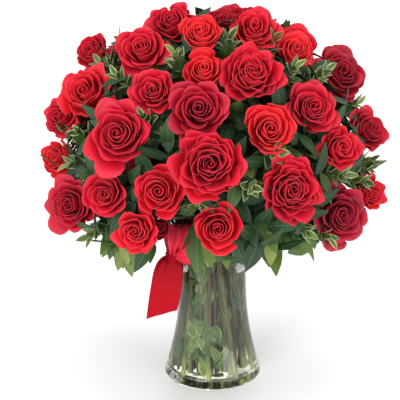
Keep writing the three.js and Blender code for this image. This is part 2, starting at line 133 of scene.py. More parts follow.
# The bow from its knot: [to the right, to the front, up] in mm.
TALL_LOOP = [[0, 4, 2], [1, 6, 14], [3, 8, 29], [5, 15, 41], [6, 24, 35], [4, 26, 20], [1, 9, 2]]
SIDE_LOOP = [[2, 4, 2], [9, 11, 9], [18, 17, 15], [27, 22, 18], [24, 29, 11], [14, 23, 4], [3, 8, 0]]
LONG_TAIL = [[0, 2, -3], [-5, 5, -17], [-9, 6, -45], [-14, 5, -76]]
SHORT_TAIL = [[0, -1, -3], [-3, -3, -14], [-7, -4, -34], [-11, -4, -56]]

# ---------------------------------------------------------------- choices for the finish

# How each front head looks, by its number: (kind of head, tone from 0 dark to 1 bright, how far the
# petals spread as a share of the solid head's radius).
# The tones are partly each rose's own red, from crimson to scarlet, and partly painted shade: the darkest
# ones belong to heads that sit in shadow among the others.
HEAD_LOOKS = {
    1: ("spray", 0.50, 1.20),
    2: ("open", 0.52, 1.18),
    3: ("loose", 0.70, 1.18),
    4: ("open", 0.15, 1.25),
    5: ("loose", 0.45, 1.16),
    6: ("open", 0.42, 1.24),
    7: ("spray", 0.85, 1.18),
    8: ("open", 0.34, 1.20),
    9: ("open", 0.50, 1.18),
    10: ("spray", 0.70, 1.18),
    11: ("open", 0.26, 1.14),
    12: ("ruffled", 0.52, 1.14),
    13: ("spray", 0.15, 1.25),
    14: ("spray", 0.70, 1.12),
    15: ("spray", 0.88, 1.28),
    16: ("open", 0.40, 1.18),
    17: ("ruffled", 0.45, 1.14),
    18: ("loose", 0.58, 1.28),
    19: ("open", 0.34, 1.14),
    20: ("open", 0.10, 1.22),
    21: ("loose", 0.66, 1.16),
    22: ("open", 0.14, 1.28),
    23: ("spray", 0.84, 1.14),
    24: ("loose", 0.60, 1.25),
    25: ("ruffled", 0.50, 1.14),
    26: ("spray", 0.92, 1.14),
    27: ("spray", 0.98, 1.14),
    28: ("loose", 0.45, 1.25),
    29: ("loose", 0.48, 1.20),
    30: ("loose", 0.68, 1.28),
    31: ("spray", 0.30, 1.20),
}
# The heads behind take these kinds in turn, spread alike, and their tones are scattered over a range.
BACK_KINDS = ["open", "loose", "spray", "open", "ruffled"]
BACK_FULLNESS = 1.20
BACK_DARKEST = 0.20
BACK_RANGE = 0.65
# How much the petals of the heads in front and at the sides look further to the front than the axis.
NOD = 0.30
# Kinds of head: how many petals, how far the lips flare, how much they roll over and how deep their
# waves are; the height of the innermost petal and how much lower the outermost one is, as shares of
# the head's height; and the width of the outermost cup as a share of the radius.
HEAD_KINDS = {
    "open": dict(petals=29, flare=0.38, roll=1.0, ruffle=0.026, top=1.00, drop=0.42, cup=0.62),
    "loose": dict(petals=27, flare=0.38, roll=0.8, ruffle=0.044, top=1.02, drop=0.40, cup=0.60),
    "spray": dict(petals=25, flare=0.22, roll=0.6, ruffle=0.028, top=1.00, drop=0.34, cup=0.74),
    "ruffled": dict(petals=42, flare=0.30, roll=0.5, ruffle=0.056, top=1.02, drop=0.42, cup=0.66),
}

# Big leaves between the front heads: [tip across, tip up, base across, base up, width] in mm, from
# the dome's middle as seen from the front.
FRONT_LEAVES = [
    [-206, 6, -150, -4, 24],
    [-168, 36, -132, 18, 20],
    [-122, 120, -96, 92, 20],
    [-42, 132, -36, 96, 22],
    [16, 148, 12, 110, 22],
    [90, 172, 66, 132, 24],
    [88, 104, 74, 84, 20],
    [126, 100, 104, 80, 20],
    [168, 78, 138, 60, 20],
    [206, 0, 148, -4, 26],
    [166, -20, 130, -8, 22],
    [30, 80, 20, 54, 20],
    [122, 12, 96, 16, 20],
    [-66, 34, -46, 20, 22],
    [-160, -12, -126, -2, 22],
    [44, -10, 30, -2, 22],
    [-28, -54, -18, -36, 20],
    [60, -80, 44, -56, 24],
    [-136, -102, -108, -70, 22],
    [128, -88, 112, -62, 20],
]
# Leaves that hang under the lowest heads, by the vase's rim or wider: radius and height of the base
# and of the tip, how far the tip is turned from the base, how much the face looks up, and the width.
HANGING_BY_RIM = dict(base=(0.060, 0.217), tip=(0.088, 0.163), swing=0.10, face=0.35, width=0.031)
HANGING_WIDER = dict(base=(0.098, 0.214), tip=(0.137, 0.176), swing=-0.08, face=0.80, width=0.033)
# Where they hang: [degrees round from the front, 1 by the rim or 0 wider].
HANGING_LEAVES = [
    [-68, 0],
    [-43, 0],
    [-19, 1],
    [38, 0],
    [48, 1],
    [68, 0],
    [92, 1],
    [112, 0],
    [132, 1],
    [152, 0],
    [172, 1],
    [192, 0],
    [212, 1],
    [232, 0],
    [252, 1],
    [272, 0],
]
# Bunches of leaves that hang below the dome in front: [across, up] in mm as seen from the front, and
# the tone from 0 dark to 1 light.
FRINGE = [
    [-128, -100, 0.80],
    [-112, -106, 0.95],
    [-94, -108, 0.85],
    [-82, -96, 0.60],
    [-136, -84, 0.55],
    [-122, -108, 0.90],
    [-104, -112, 0.75],
    [-98, -98, 0.95],
    [-118, -94, 0.70],
    [-88, -112, 0.80],
    [44, -94, 0.45],
    [58, -102, 0.75],
    [72, -100, 0.88],
    [88, -98, 0.62],
    [104, -92, 0.50],
    [120, -86, 0.62],
    [8, -112, 0.75],
    [-14, -112, 0.90],
]
# Leaves that fill the dome all round: the setting that counts them, the reach of their tips, how much
# further they reach where there is room, length, width, darkest tone, and the turn of the first one. The
# darkest tone is painted shade, lower for the leaves deep between the heads than for the outer ones.
FILLING = [
    ("deep_leaves", 0.150, 0.0, 0.050, 0.030, 0.02, 1.0),
    ("outer_leaves", 0.164, 0.026, 0.036, 0.019, 0.10, 2.7),
]
# Variegated sprigs that come up between the front heads: [across, up] in mm as seen from the front.
SPRIGS = [
    [-126, 126],
    [-124, 112],
    [-106, 98],
    [-43, 121],
    [18, 142],
    [67, 139],
    [86, 160],
    [89, 107],
    [124, 104],
    [167, 71],
    [184, 6],
    [196, -4],
    [167, -18],
    [143, -11],
    [-174, 40],
    [-152, 35],
    [-157, 1],
    [-136, -78],
    [104, -76],
    [126, -80],
    [-20, -50],
    [71, 14],
    [-78, 54],
    [44, -26],
]

# Where the reddish old greenery stems stand in the vase, as a turn from the front, and the tones that
# the others take in turn.
OLD_STEMS = 0.30
OLD_TONE = 0.97
GREENERY_TONES = [0.10, 0.55, 0.40, 0.62]
# Leaves inside the vase: [turn from the front and its spread in radians, lowest and highest place in
# metres, how many, lightest tone].
VASE_LEAVES = [
    [-0.60, 0.34, 0.100, 0.190, 40, 0.66],
    [-0.45, 0.40, 0.012, 0.072, 60, 0.80],
    [-0.90, 0.30, 0.040, 0.120, 16, 0.45],
    [0.70, 0.50, 0.080, 0.190, 16, 0.40],
    [1.60, 0.40, 0.040, 0.190, 16, 0.60],
    [3.30, 0.60, 0.015, 0.190, 30, 0.60],
]

# How sharply faces meet at an edge that stays hard, for all pieces and for glass and water.
CREASE = math.radians(52)
GLASS_CREASE = math.radians(80)

# ---------------------------------------------------------------- meshes


class Shell:
    """A mesh in the making: points, faces of three or four corners, and values on the points."""

    def __init__(self):
        self.points, self.faces, self.values, self.count = [], [], {}, 0

    def add(self, points, faces, **values):
        """Adds points (n, 3), a list of face arrays (m, 3 or 4) and one value per point for each name.
        Every addition to a shell gives the same names."""
        points = np.asarray(points, float).reshape(-1, 3)
        for block in faces:
            self.faces.append(np.asarray(block, np.int64) + self.count)
        self.points.append(points)
        for name, value in values.items():
            value = np.broadcast_to(np.asarray(value, float).ravel(), (len(points),))
            self.values.setdefault(name, []).append(value)
        self.count += len(points)

    def mesh(self, name, crease):
        """The finished mesh: smooth, with hard edges where faces meet more sharply than `crease`."""
        mesh = bpy.data.meshes.new(name)
        points = np.concatenate(self.points)
        mesh.vertices.add(len(points))
        mesh.vertices.foreach_set("co", points.ravel())
        corners = np.concatenate([block.ravel() for block in self.faces])
        sizes = np.concatenate([np.full(len(block), block.shape[1]) for block in self.faces])
        starts = np.concatenate([[0], np.cumsum(sizes)[:-1]])
        mesh.loops.add(len(corners))
        mesh.loops.foreach_set("vertex_index", corners)
        mesh.polygons.add(len(sizes))
        mesh.polygons.foreach_set("loop_start", starts)
        mesh.polygons.foreach_set("loop_total", sizes)
        mesh.polygons.foreach_set("use_smooth", np.ones(len(sizes), bool))
        mesh.update(calc_edges=True)
        for value_name, blocks in self.values.items():
            layer = mesh.attributes.new(value_name, "FLOAT", "POINT")
            layer.data.foreach_set("value", np.concatenate(blocks))
        mesh.validate()
        mesh.set_sharp_from_angle(angle=crease)
        return mesh


def put(name, shell, material, nodes, crease=CREASE):
    """Makes an object of a shell, gives it its material and slot, hangs it under the root body, and hides
    the frame's nodes that it stands for.
    """
    thing = bpy.data.objects.new(name, shell.mesh(name, crease))
    bpy.context.scene.collection.objects.link(thing)
    thing.data.materials.append(material)
    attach(thing, "root")
    if nodes:
        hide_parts(*nodes)
    return thing


def unit(vectors):
    """Each vector over its own length."""
    return vectors / np.maximum(np.linalg.norm(vectors, axis=-1, keepdims=True), 1e-12)


def grid_quads(rows, columns):
    """Corners of the quads of a grid whose points are numbered row by row."""
    at = np.arange(rows * columns).reshape(rows, columns)
    return np.stack([at[:-1, :-1], at[:-1, 1:], at[1:, 1:], at[1:, :-1]], -1).reshape(-1, 4)


def sheet_faces(rows, columns):
    """Faces of a thin closed sheet: the front grid, the back grid turned over, and the rim between."""
    front = grid_quads(rows, columns)
    size = rows * columns
    at = np.arange(size).reshape(rows, columns)
    edge = np.concatenate([at[0, :-1], at[:-1, -1], at[-1, :0:-1], at[:0:-1, 0]])
    after = np.roll(edge, -1)
    rim = np.stack([after, edge, edge + size, after + size], -1)
    return np.concatenate([front, front[:, ::-1] + size, rim])


def add_sheets(shell, middle, thickness, **values):
    """Adds many thin closed sheets at once. `middle` is (sheets, rows, columns, 3). The front and back
    stand half the thickness from it, along the cross product of its two directions. The thickness
    and the values are numbers, or arrays that spread over (sheets, rows, columns)."""
    sheets, rows, columns, _ = middle.shape
    down = np.gradient(middle, axis=1)
    across = np.gradient(middle, axis=2)
    normal = unit(np.cross(across, down))
    half = np.asarray(thickness, float)[..., None] / 2
    front, back = middle + normal * half, middle - normal * half
    points = np.stack([front, back], 1)
    size = 2 * rows * columns
    faces = sheet_faces(rows, columns)[None] + (np.arange(sheets) * size)[:, None, None]
    spread = {
        name: np.repeat(np.broadcast_to(value, (sheets, rows, columns))[:, None], 2, 1)
        for name, value in values.items()
    }
    shell.add(points, [faces.reshape(-1, 4)], **spread)


def sheet_places(rows, columns):
    """The two parameters of a sheet: v from 0 to 1 down the rows and u from -1 to 1 across."""
    return np.linspace(0, 1, rows)[None, :, None], np.linspace(-1, 1, columns)[None, None, :]


def smooth_path(points, samples):
    """A Catmull-Rom curve through the points: on each stretch a cubic whose slope at a point is half
    of the step between its neighbours."""
    points = np.asarray(points, float)
    padded = np.concatenate([2 * points[:1] - points[1:2], points, 2 * points[-1:] - points[-2:-1]])
    place = np.linspace(0, len(points) - 1, samples)
    start = np.minimum(place.astype(int), len(points) - 2)
    t = (place - start)[:, None]
    a, b, c, d = (padded[start + k] for k in range(4))
    return 0.5 * (2 * b + (c - a) * t + (2 * a - 5 * b + 4 * c - d) * t**2 + (3 * b - a - 3 * c + d) * t**3)


def sides_of(along, hint):
    """Two directions square to each direction of a path, the first also square to `hint`."""
    across = unit(np.cross(np.broadcast_to(hint, along.shape), along))
    return across, np.cross(along, across)


def add_tube(shell, path, radius, sides, **values):
    """A round closed tube: rings of radius `radius` square to the path, and a pole at each end."""
    along = unit(np.gradient(path, axis=0))
    across, up = sides_of(along, np.array([0.31, 0.17, 0.93]))
    angle = np.arange(sides) * TURN / sides
    radius = np.broadcast_to(radius, len(path))[:, None, None]
    ring = np.cos(angle)[None, :, None] * across[:, None] + np.sin(angle)[None, :, None] * up[:, None]
    points = path[:, None] + radius * ring
    add_closed(shell, points, path[0], path[-1], **values)


def add_closed(shell, rings, first, last, **values):
    """A closed body through rings (n, sides, 3) that turn rightwards about the way they go, with a
    pole at each end. Each value is a number, or one for each ring."""
    count, sides, _ = rings.shape
    at = np.arange(count * sides).reshape(count, sides)
    after = np.roll(at, -1, axis=1)
    side = np.stack([at[:-1], after[:-1], after[1:], at[1:]], -1).reshape(-1, 4)
    start = np.stack([np.full(sides, count * sides), after[0], at[0]], -1)
    end = np.stack([np.full(sides, count * sides + 1), at[-1], after[-1]], -1)
    points = np.concatenate([rings.reshape(-1, 3), [first], [last]])
    spread = {}
    for name, value in values.items():
        value = np.broadcast_to(np.asarray(value, float), (count,))
        spread[name] = np.concatenate([np.repeat(value, sides), [value[0]], [value[-1]]])
    shell.add(points, [side, start, end], **spread)


def add_lathe(shell, profile, steps):
    """A body of revolution about Z whose profile (radius, height) starts and ends on the axis: each
    ring is radius * (cos, sin) of the angle, at its height."""
    profile = np.asarray(profile, float)
    inner = profile[1:-1]
    angle = np.arange(steps) * TURN / steps
    rings = np.stack(
        [
            inner[:, :1] * np.cos(angle),
            inner[:, :1] * np.sin(angle),
            np.broadcast_to(inner[:, 1:], (len(inner), steps)),
        ],
        -1,
    )
    add_closed(shell, rings, [0, 0, profile[0][1]], [0, 0, profile[-1][1]])


# ---------------------------------------------------------------- places taken from the frame


def node_points(name):
    """A node's vertices, each place once."""
    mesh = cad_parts[name].data
    places = np.empty(len(mesh.vertices) * 3, np.float32)
    mesh.vertices.foreach_get("co", places)
    return np.unique(np.round(places.reshape(-1, 3).astype(float), 6), axis=0)


def clipped(value):
    """A number held between 0 and 1."""
    return min(max(value, 0.0), 1.0)


def facing(place):
    """Away from the focus, and to the front as well: fully so from the sides on, less behind them
    and not at all at the back."""
    out = unit(place - FOCUS)
    share = clipped((float(out @ SEEN_FRONT) + 0.5) / 0.5)
    return unit(out + SEEN_FRONT * TURNED * share)


def read_head(name):
    """A head's seat, axis and size: its middle gives the axis, its lowest points give the seat. Its
    petals look a little more to the front than its axis does, all but those at the back."""
    points = node_points(name)
    middle = points.mean(0)
    axis = facing(middle)
    rise = (points - middle) @ axis
    base = points[rise < rise.min() + SEAT_DEPTH].mean(0)
    axis = unit(middle - base)
    rise = (points - base) @ axis
    radius = float(np.linalg.norm(points - base - rise[:, None] * axis, axis=1).max()) / WIDEST_RING
    height = radius * (LARGE_RISE if radius > LARGE_HEAD else SMALL_RISE)
    centre = base + HEAD_MIDDLE * height * axis
    nod = clipped((float(axis @ SEEN_FRONT) + 0.2) / 0.4)
    turn = (math.atan2(centre[0], -centre[1]) - SECTOR_START) % TURN
    return dict(
        name=name,
        number=int(name[-2:]),
        base=base,
        axis=axis,
        gaze=unit(axis + NOD * nod * SEEN_FRONT),
        radius=radius,
        height=height,
        centre=centre,
        sector=int(turn / (TURN / SECTORS)),
        lean=math.acos(float(unit(centre - DOME_CENTRE) @ UP)),
    )


# All heads as the frame has them, with their middles and radii as arrays, and the nodes of the stems.
HEADS = [read_head(name) for name in sorted(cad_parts) if name.startswith("rose_")]
HEAD_CENTRES = np.array([head["centre"] for head in HEADS])
HEAD_RADII = np.array([head["radius"] for head in HEADS])
STEM_NODES = sorted(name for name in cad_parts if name.startswith("stems_"))


def room_at(points):
    """How far each point is from the nearest head's petals."""
    gap = np.linalg.norm(points[..., None, :] - HEAD_CENTRES, axis=-1) - HEAD_RADII
    return gap.min(-1)


def around(radius, turn, height):
    """A place by its radius, its turn from the front and its height."""
    return np.array([radius * math.sin(turn), -radius * math.cos(turn), height])


KNOT = around(BOW_REACH, BOW_TURN, BOW_HEIGHT)
# What the scattered leaves keep clear before the bow, from its knot as seen from the front: least and
# most to the right, least and most up.
BOW_WINDOW = [-0.022, 0.038, -0.018, 0.050]


def seen_place(across, up, reach):
    """A place on a ball of radius `reach` round the dome's middle, from how far to the right and up
    it looks from the front: what is nearer looks larger, so both are cut down by its depth."""
    depth = math.sqrt(max(reach**2 - across**2 - up**2, OUTLINE_DEPTH**2))
    closer = 1 - depth / SEEN_FROM
    return DOME_CENTRE + (SEEN_RIGHT * across + SEEN_UP * up) * closer + SEEN_FRONT * depth


def golden_spread(count, top, fall, start):
    """Directions spread evenly over a ball: the height runs from `top` down by `fall` in even steps,
    and each direction is the golden angle further round than the last."""
    index = np.arange(count)
    height = top - fall * (index + 0.5) / count
    ring = np.sqrt(np.maximum(1 - height**2, 0))
    turn = index * GOLDEN_TURN + start
    return np.stack([ring * np.cos(turn), ring * np.sin(turn), height], -1)


def hides_bow(points):
    """Whether any point of each row (n, k, 3) stands before the bow, as seen from the front."""
    step = points - KNOT
    across, up, front = step @ SEEN_RIGHT, step @ SEEN_UP, step @ SEEN_FRONT
    beside = (across > BOW_WINDOW[0]) & (across < BOW_WINDOW[1])
    level = (up > BOW_WINDOW[2]) & (up < BOW_WINDOW[3])
    return (beside & level & (front > 0)).any(-1)


def last_places(head):
    """The end of a branch: where it bends towards its head, just below the seat, and the seat."""
    return [head["base"] - below * head["axis"] for below in BRANCH_END]


def stem_plans():
    """The three stems of each wedge with their heads, the highest heads on the middle stem."""
    plans = []
    for sector in range(SECTORS):
        mine = sorted((h for h in HEADS if h["sector"] == sector), key=lambda head: head["lean"])
        turn = SECTOR_START + TURN * (sector + 0.5) / SECTORS
        for rank, (foot, tied, spread) in enumerate(STEM_ROUTES):
            start, end = len(mine) * rank // 3, len(mine) * (rank + 1) // 3
            carried = mine[start:end]
            route = [
                around(foot, turn + STEM_TWIST, FOOT_HEIGHT),
                around(tied, turn, TIE_HEIGHT),
                around(spread[0], turn, spread[1]),
            ]
            target = np.mean([head["base"] for head in carried], axis=0)
            share = FORK_SHARE if len(carried) > 1 else SINGLE_SHARE
            fork = route[2] + (target - route[2]) * share
            plans.append(dict(route=route + [fork], fork=fork, carried=carried))
    return plans


PLANS = stem_plans()


def vase_radius(z):
    """The outside of the glass at a height: the waist's radius, growing with a power of the distance
    below it up to the foot's, and with a power of the distance above it up to the rim's."""
    z = np.asarray(z, float)
    low = np.clip((VASE_WAIST_HEIGHT - z) / (VASE_WAIST_HEIGHT - VASE_FOOT_HEIGHT), 0, None)
    high = np.clip((z - VASE_WAIST_HEIGHT) / (VASE_HEIGHT - VASE_WAIST_HEIGHT), 0, None)
    return VASE_WAIST + (VASE_FOOT - VASE_WAIST) * low**1.8 + (VASE_RIM - VASE_WAIST) * high**1.6


# ---------------------------------------------------------------- materials


class Shader:
    """A material's node tree, with short ways to add nodes and join them."""

    def __init__(self, name):
        self.material = bpy.data.materials.get(name) or bpy.data.materials.new(name)
        self.material.use_nodes = True
        self.tree = self.material.node_tree
        self.tree.nodes.clear()
        self.surface = self.node("ShaderNodeBsdfPrincipled")
        output = self.node("ShaderNodeOutputMaterial")
        self.give(output.inputs["Surface"], self.surface.outputs[0])

    def node(self, kind, **settings):
        """A new node with its own settings."""
        node = self.tree.nodes.new(kind)
        for key, value in settings.items():
            setattr(node, key, value)
        return node

    def give(self, socket, value):
        """Links another node's output to a socket, or sets a number, vector or colour on it."""
        if isinstance(value, bpy.types.NodeSocket):
            self.tree.links.new(value, socket)
        elif socket.type == "RGBA":
            socket.default_value = (*value, 1.0)
        else:
            socket.default_value = value

    def fill(self, node, **sockets):
        """Gives a node's sockets their values by name, with _ for each space."""
        for name, value in sockets.items():
            self.give(node.inputs[name.replace("_", " ")], value)

    def value(self, name):
        """A value that the mesh holds on its points."""
        return self.node("ShaderNodeAttribute", attribute_name=name).outputs["Fac"]

    def math(self, operation, *values):
        """A sum, product or other operation on one to three numbers."""
        node = self.node("ShaderNodeMath", operation=operation)
        for socket, value in zip(node.inputs, values):
            self.give(socket, value)
        return node.outputs[0]

    def noise(self, scale, detail, rough=0.5, stretch=None):
        """Noise in the object's own space, stretched along its axes where a scale for each is given."""
        coords = self.node("ShaderNodeTexCoord").outputs["Object"]
        if stretch:
            mapping = self.node("ShaderNodeMapping")
            self.fill(mapping, Vector=coords, Scale=stretch)
            coords = mapping.outputs[0]
        node = self.node("ShaderNodeTexNoise")
        self.fill(node, Vector=coords, Scale=scale, Detail=detail, Roughness=rough)
        return node.outputs["Fac"]

    def streaks(self, across, along, detail):
        """Noise in a piece's own two directions, given as scaled values across and along it."""
        pair = self.node("ShaderNodeCombineXYZ")
        self.fill(pair, X=across, Y=along)
        node = self.node("ShaderNodeTexNoise", noise_dimensions="2D")
        self.fill(node, Vector=pair.outputs[0], Scale=1.0, Detail=detail)
        return node.outputs["Fac"]

    def ramp(self, fac, stops):
        """Colours by place from 0 to 1: stops of (place, colour)."""
        node = self.node("ShaderNodeValToRGB")
        self.give(node.inputs["Fac"], fac)
        elements = node.color_ramp.elements
        while len(elements) < len(stops):
            elements.new(0.5)
        for element, (place, colour) in zip(elements, stops):
            element.position = place
            element.color = (*colour, 1.0)
        return node.outputs["Color"]

    def step(self, fac, low, high):
        """From 0 at `low` to 1 at `high`, or the other way round where `high` is the lower one."""
        black, white = (0, 0, 0), (1, 1, 1)
        stops = [(low, black), (high, white)] if low < high else [(high, white), (low, black)]
        return self.ramp(fac, stops)

    def mix(self, fac, a, b):
        """A colour between a and b."""
        node = self.node("ShaderNodeMix", data_type="RGBA")
        for socket, value in ((node.inputs[0], fac), (node.inputs[6], a), (node.inputs[7], b)):
            self.give(socket, value)
        return node.outputs[2]

    def bump(self, height, strength, distance):
        """Gives the surface a relief of the height, as deep as the distance."""
        node = self.node("ShaderNodeBump")
        self.fill(node, Height=height, Strength=strength, Distance=distance)
        self.give(self.surface.inputs["Normal"], node.outputs[0])


def petal_material(settings):
    """Velvety petals: darkened at the base as painted shade, for the shade deep in the head, clearer
    towards the lip, with a painted pink highlight on the lips' rims and fine veins along the petal.
    """
    shader = Shader("petals")
    tone, lip, across = shader.value("tone"), shader.value("lip"), shader.value("across")
    body = shader.ramp(
        tone,
        [
            (0.0, settings.darkest),
            (0.35, (0.50, 0.004, 0.024)),
            (0.65, (0.76, 0.009, 0.028)),
            (1.0, settings.brightest),
        ],
    )
    # Painted shade: the lower part of each petal is darkened towards near black, for the shade deep inside
    # the head.
    deep = shader.mix(0.32, body, (0.10, 0.0, 0.010))
    colour = shader.mix(shader.step(lip, 0.10, 0.60), deep, body)
    # Painted highlight: the top of each lip is lightened to pink, as light catching the rolled rims.
    painted_lip_highlight = shader.mix(0.25, body, (0.90, 0.07, 0.11))
    colour = shader.mix(shader.step(lip, 0.86, 1.0), colour, painted_lip_highlight)
    cloud = shader.noise(70.0, 4.0)
    colour = shader.mix(shader.math("MULTIPLY", cloud, 0.35), colour, (0.02, 0.0, 0.004))
    veins = shader.streaks(shader.math("MULTIPLY", across, 26.0), shader.math("MULTIPLY", lip, 2.5), 3.0)
    shader.bump(veins, 0.35, 0.0006)
    shader.fill(
        shader.surface,
        Base_Color=colour,
        Roughness=0.55,
        Specular_IOR_Level=0.22,
        Subsurface_Weight=0.25,
        Subsurface_Radius=(0.006, 0.0006, 0.0008),
        Subsurface_Scale=1.0,
        Sheen_Weight=0.08,
        Sheen_Roughness=0.4,
        Sheen_Tint=(1.0, 0.35, 0.4),
    )
    return shader.material


def leaf_material():
    """Waxy leaves: mid rib and side veins lighter, older and younger greens, cream rim where marked.
    The side veins lie where 9 times the place along, less 2.2 times the place across, is a whole
    number and a half."""
    shader = Shader("leaves")
    along, across, tone, cream = (shader.value(n) for n in ("along", "across", "tone", "cream"))
    green = shader.ramp(
        tone,
        [
            (0.0, (0.004, 0.018, 0.012)),
            (0.4, (0.018, 0.058, 0.020)),
            (0.75, (0.090, 0.148, 0.028)),
            (1.0, (0.225, 0.275, 0.062)),
        ],
    )
    side = shader.math("ABSOLUTE", across)
    slant = shader.math("SUBTRACT", shader.math("MULTIPLY", along, 9.0), shader.math("MULTIPLY", side, 2.2))
    wave = shader.math("ABSOLUTE", shader.math("SUBTRACT", shader.math("FRACT", slant), 0.5))
    rib, vein = shader.step(side, 0.07, 0.02), shader.step(wave, 0.09, 0.02)
    lines = shader.mix(shader.math("MULTIPLY", vein, 0.5), rib, (1, 1, 1))
    pale = shader.mix(0.55, green, (0.30, 0.42, 0.14))
    colour = shader.mix(shader.math("MULTIPLY", lines, 0.55), green, pale)
    blotch = shader.noise(90.0, 4.0, 0.6)
    colour = shader.mix(shader.math("MULTIPLY", blotch, 0.4), colour, (0.008, 0.03, 0.008))
    wander = shader.math("MULTIPLY_ADD", shader.noise(240.0, 2.0), 0.34, -0.17)
    rim = shader.step(shader.math("ADD", side, wander), 0.62, 0.74)
    margin = shader.math("MULTIPLY", rim, cream)
    colour = shader.mix(margin, colour, (0.46, 0.50, 0.25))
    shader.bump(lines, 0.35, 0.0005)
    shader.fill(
        shader.surface,
        Base_Color=colour,
        Roughness=0.46,
        Specular_IOR_Level=0.28,
        Subsurface_Weight=0.05,
        Subsurface_Radius=(0.0015, 0.003, 0.0008),
        Subsurface_Scale=1.0,
    )
    return shader.material


def stem_material():
    """Bark by tone: pale at a cut foot, dull green in the water, fresh green in the air and reddish
    where old, with lengthwise streaks."""
    shader = Shader("stems")
    green = shader.ramp(
        shader.value("tone"),
        [
            (0.0, (0.30, 0.34, 0.12)),
            (0.03, (0.062, 0.080, 0.024)),
            (0.50, (0.032, 0.052, 0.020)),
            (0.85, (0.070, 0.140, 0.030)),
            (1.0, (0.075, 0.026, 0.026)),
        ],
    )
    streak = shader.noise(160.0, 4.0, 0.6, stretch=(1.0, 1.0, 0.12))
    colour = shader.mix(shader.math("MULTIPLY", streak, 0.5), green, (0.055, 0.040, 0.018))
    shader.bump(streak, 0.3, 0.0004)
    shader.fill(shader.surface, Base_Color=colour, Roughness=0.5, Specular_IOR_Level=0.2)
    return shader.material


def clear_material(name, tint, index, waves, strength, depth):
    """A clear material: its tint, how strongly it bends light, and slow waves of its surface."""
    shader = Shader(name)
    shader.bump(shader.noise(waves, 1.0), strength, depth)
    shader.fill(shader.surface, Base_Color=tint, Roughness=0.0, IOR=index, Transmission_Weight=1.0)
    return shader.material


def glass_material(settings):
    """Clear soda glass with the faintest green and slow waves from moulding. It bends light less
    than real glass does, so that the pale floor doesn't veil what stands in the vase."""
    return clear_material("clear_glass", settings.glass, settings.glass_index, 22.0, 0.06, 0.001)


def water_material(settings):
    """Clear water, a little clouded by the stems."""
    return clear_material("vase_water", settings.water, 1.33, 60.0, 0.03, 0.0005)


def satin_material(settings):
    """Satin: long floats along the ribbon, a woven edge, a soft streak of light across, and a red that is
    painted lighter on the bow's loops, as painted light where they stand in shade, and painted darker on
    the tails, as painted shade where they face the front lamp."""
    shader = Shader("red_satin")
    across, along = shader.value("across"), shader.value("along")
    thread = shader.streaks(shader.math("MULTIPLY", across, 90.0), shader.math("MULTIPLY", along, 6.0), 2.0)
    hem = shader.step(shader.math("ABSOLUTE", across), 0.90, 0.94)
    # Painted light and shade: tone 1 takes the lighter red of the loops, which stand in shade, and tone 0
    # the darker red of the tails, which face the front lamp.
    painted_light_and_shade_red = shader.mix(shader.value("tone"), settings.painted_shade_tails, settings.folded)
    colour = shader.mix(shader.math("MULTIPLY", thread, 0.3), painted_light_and_shade_red, (0.30, 0.002, 0.010))
    colour = shader.mix(shader.math("MULTIPLY", hem, 0.5), colour, (0.22, 0.002, 0.010))
    height = shader.math("ADD", thread, shader.math("MULTIPLY", hem, 0.8))
    shader.bump(height, 0.25, 0.0002)
    shader.fill(
        shader.surface,
        Base_Color=colour,
        Roughness=0.36,
        Specular_IOR_Level=0.16,
        Specular_Tint=(1.0, 0.45, 0.5),
        Anisotropic=0.5,
    )
    return shader.material


# ---------------------------------------------------------------- rose heads

PETAL_ROWS = 10
PETAL_COLUMNS = 9
# Heads whose petals spread no further than this have fewer petals, by this share.
FEWER_BELOW = 0.019
FEWER_SHARE = 0.75


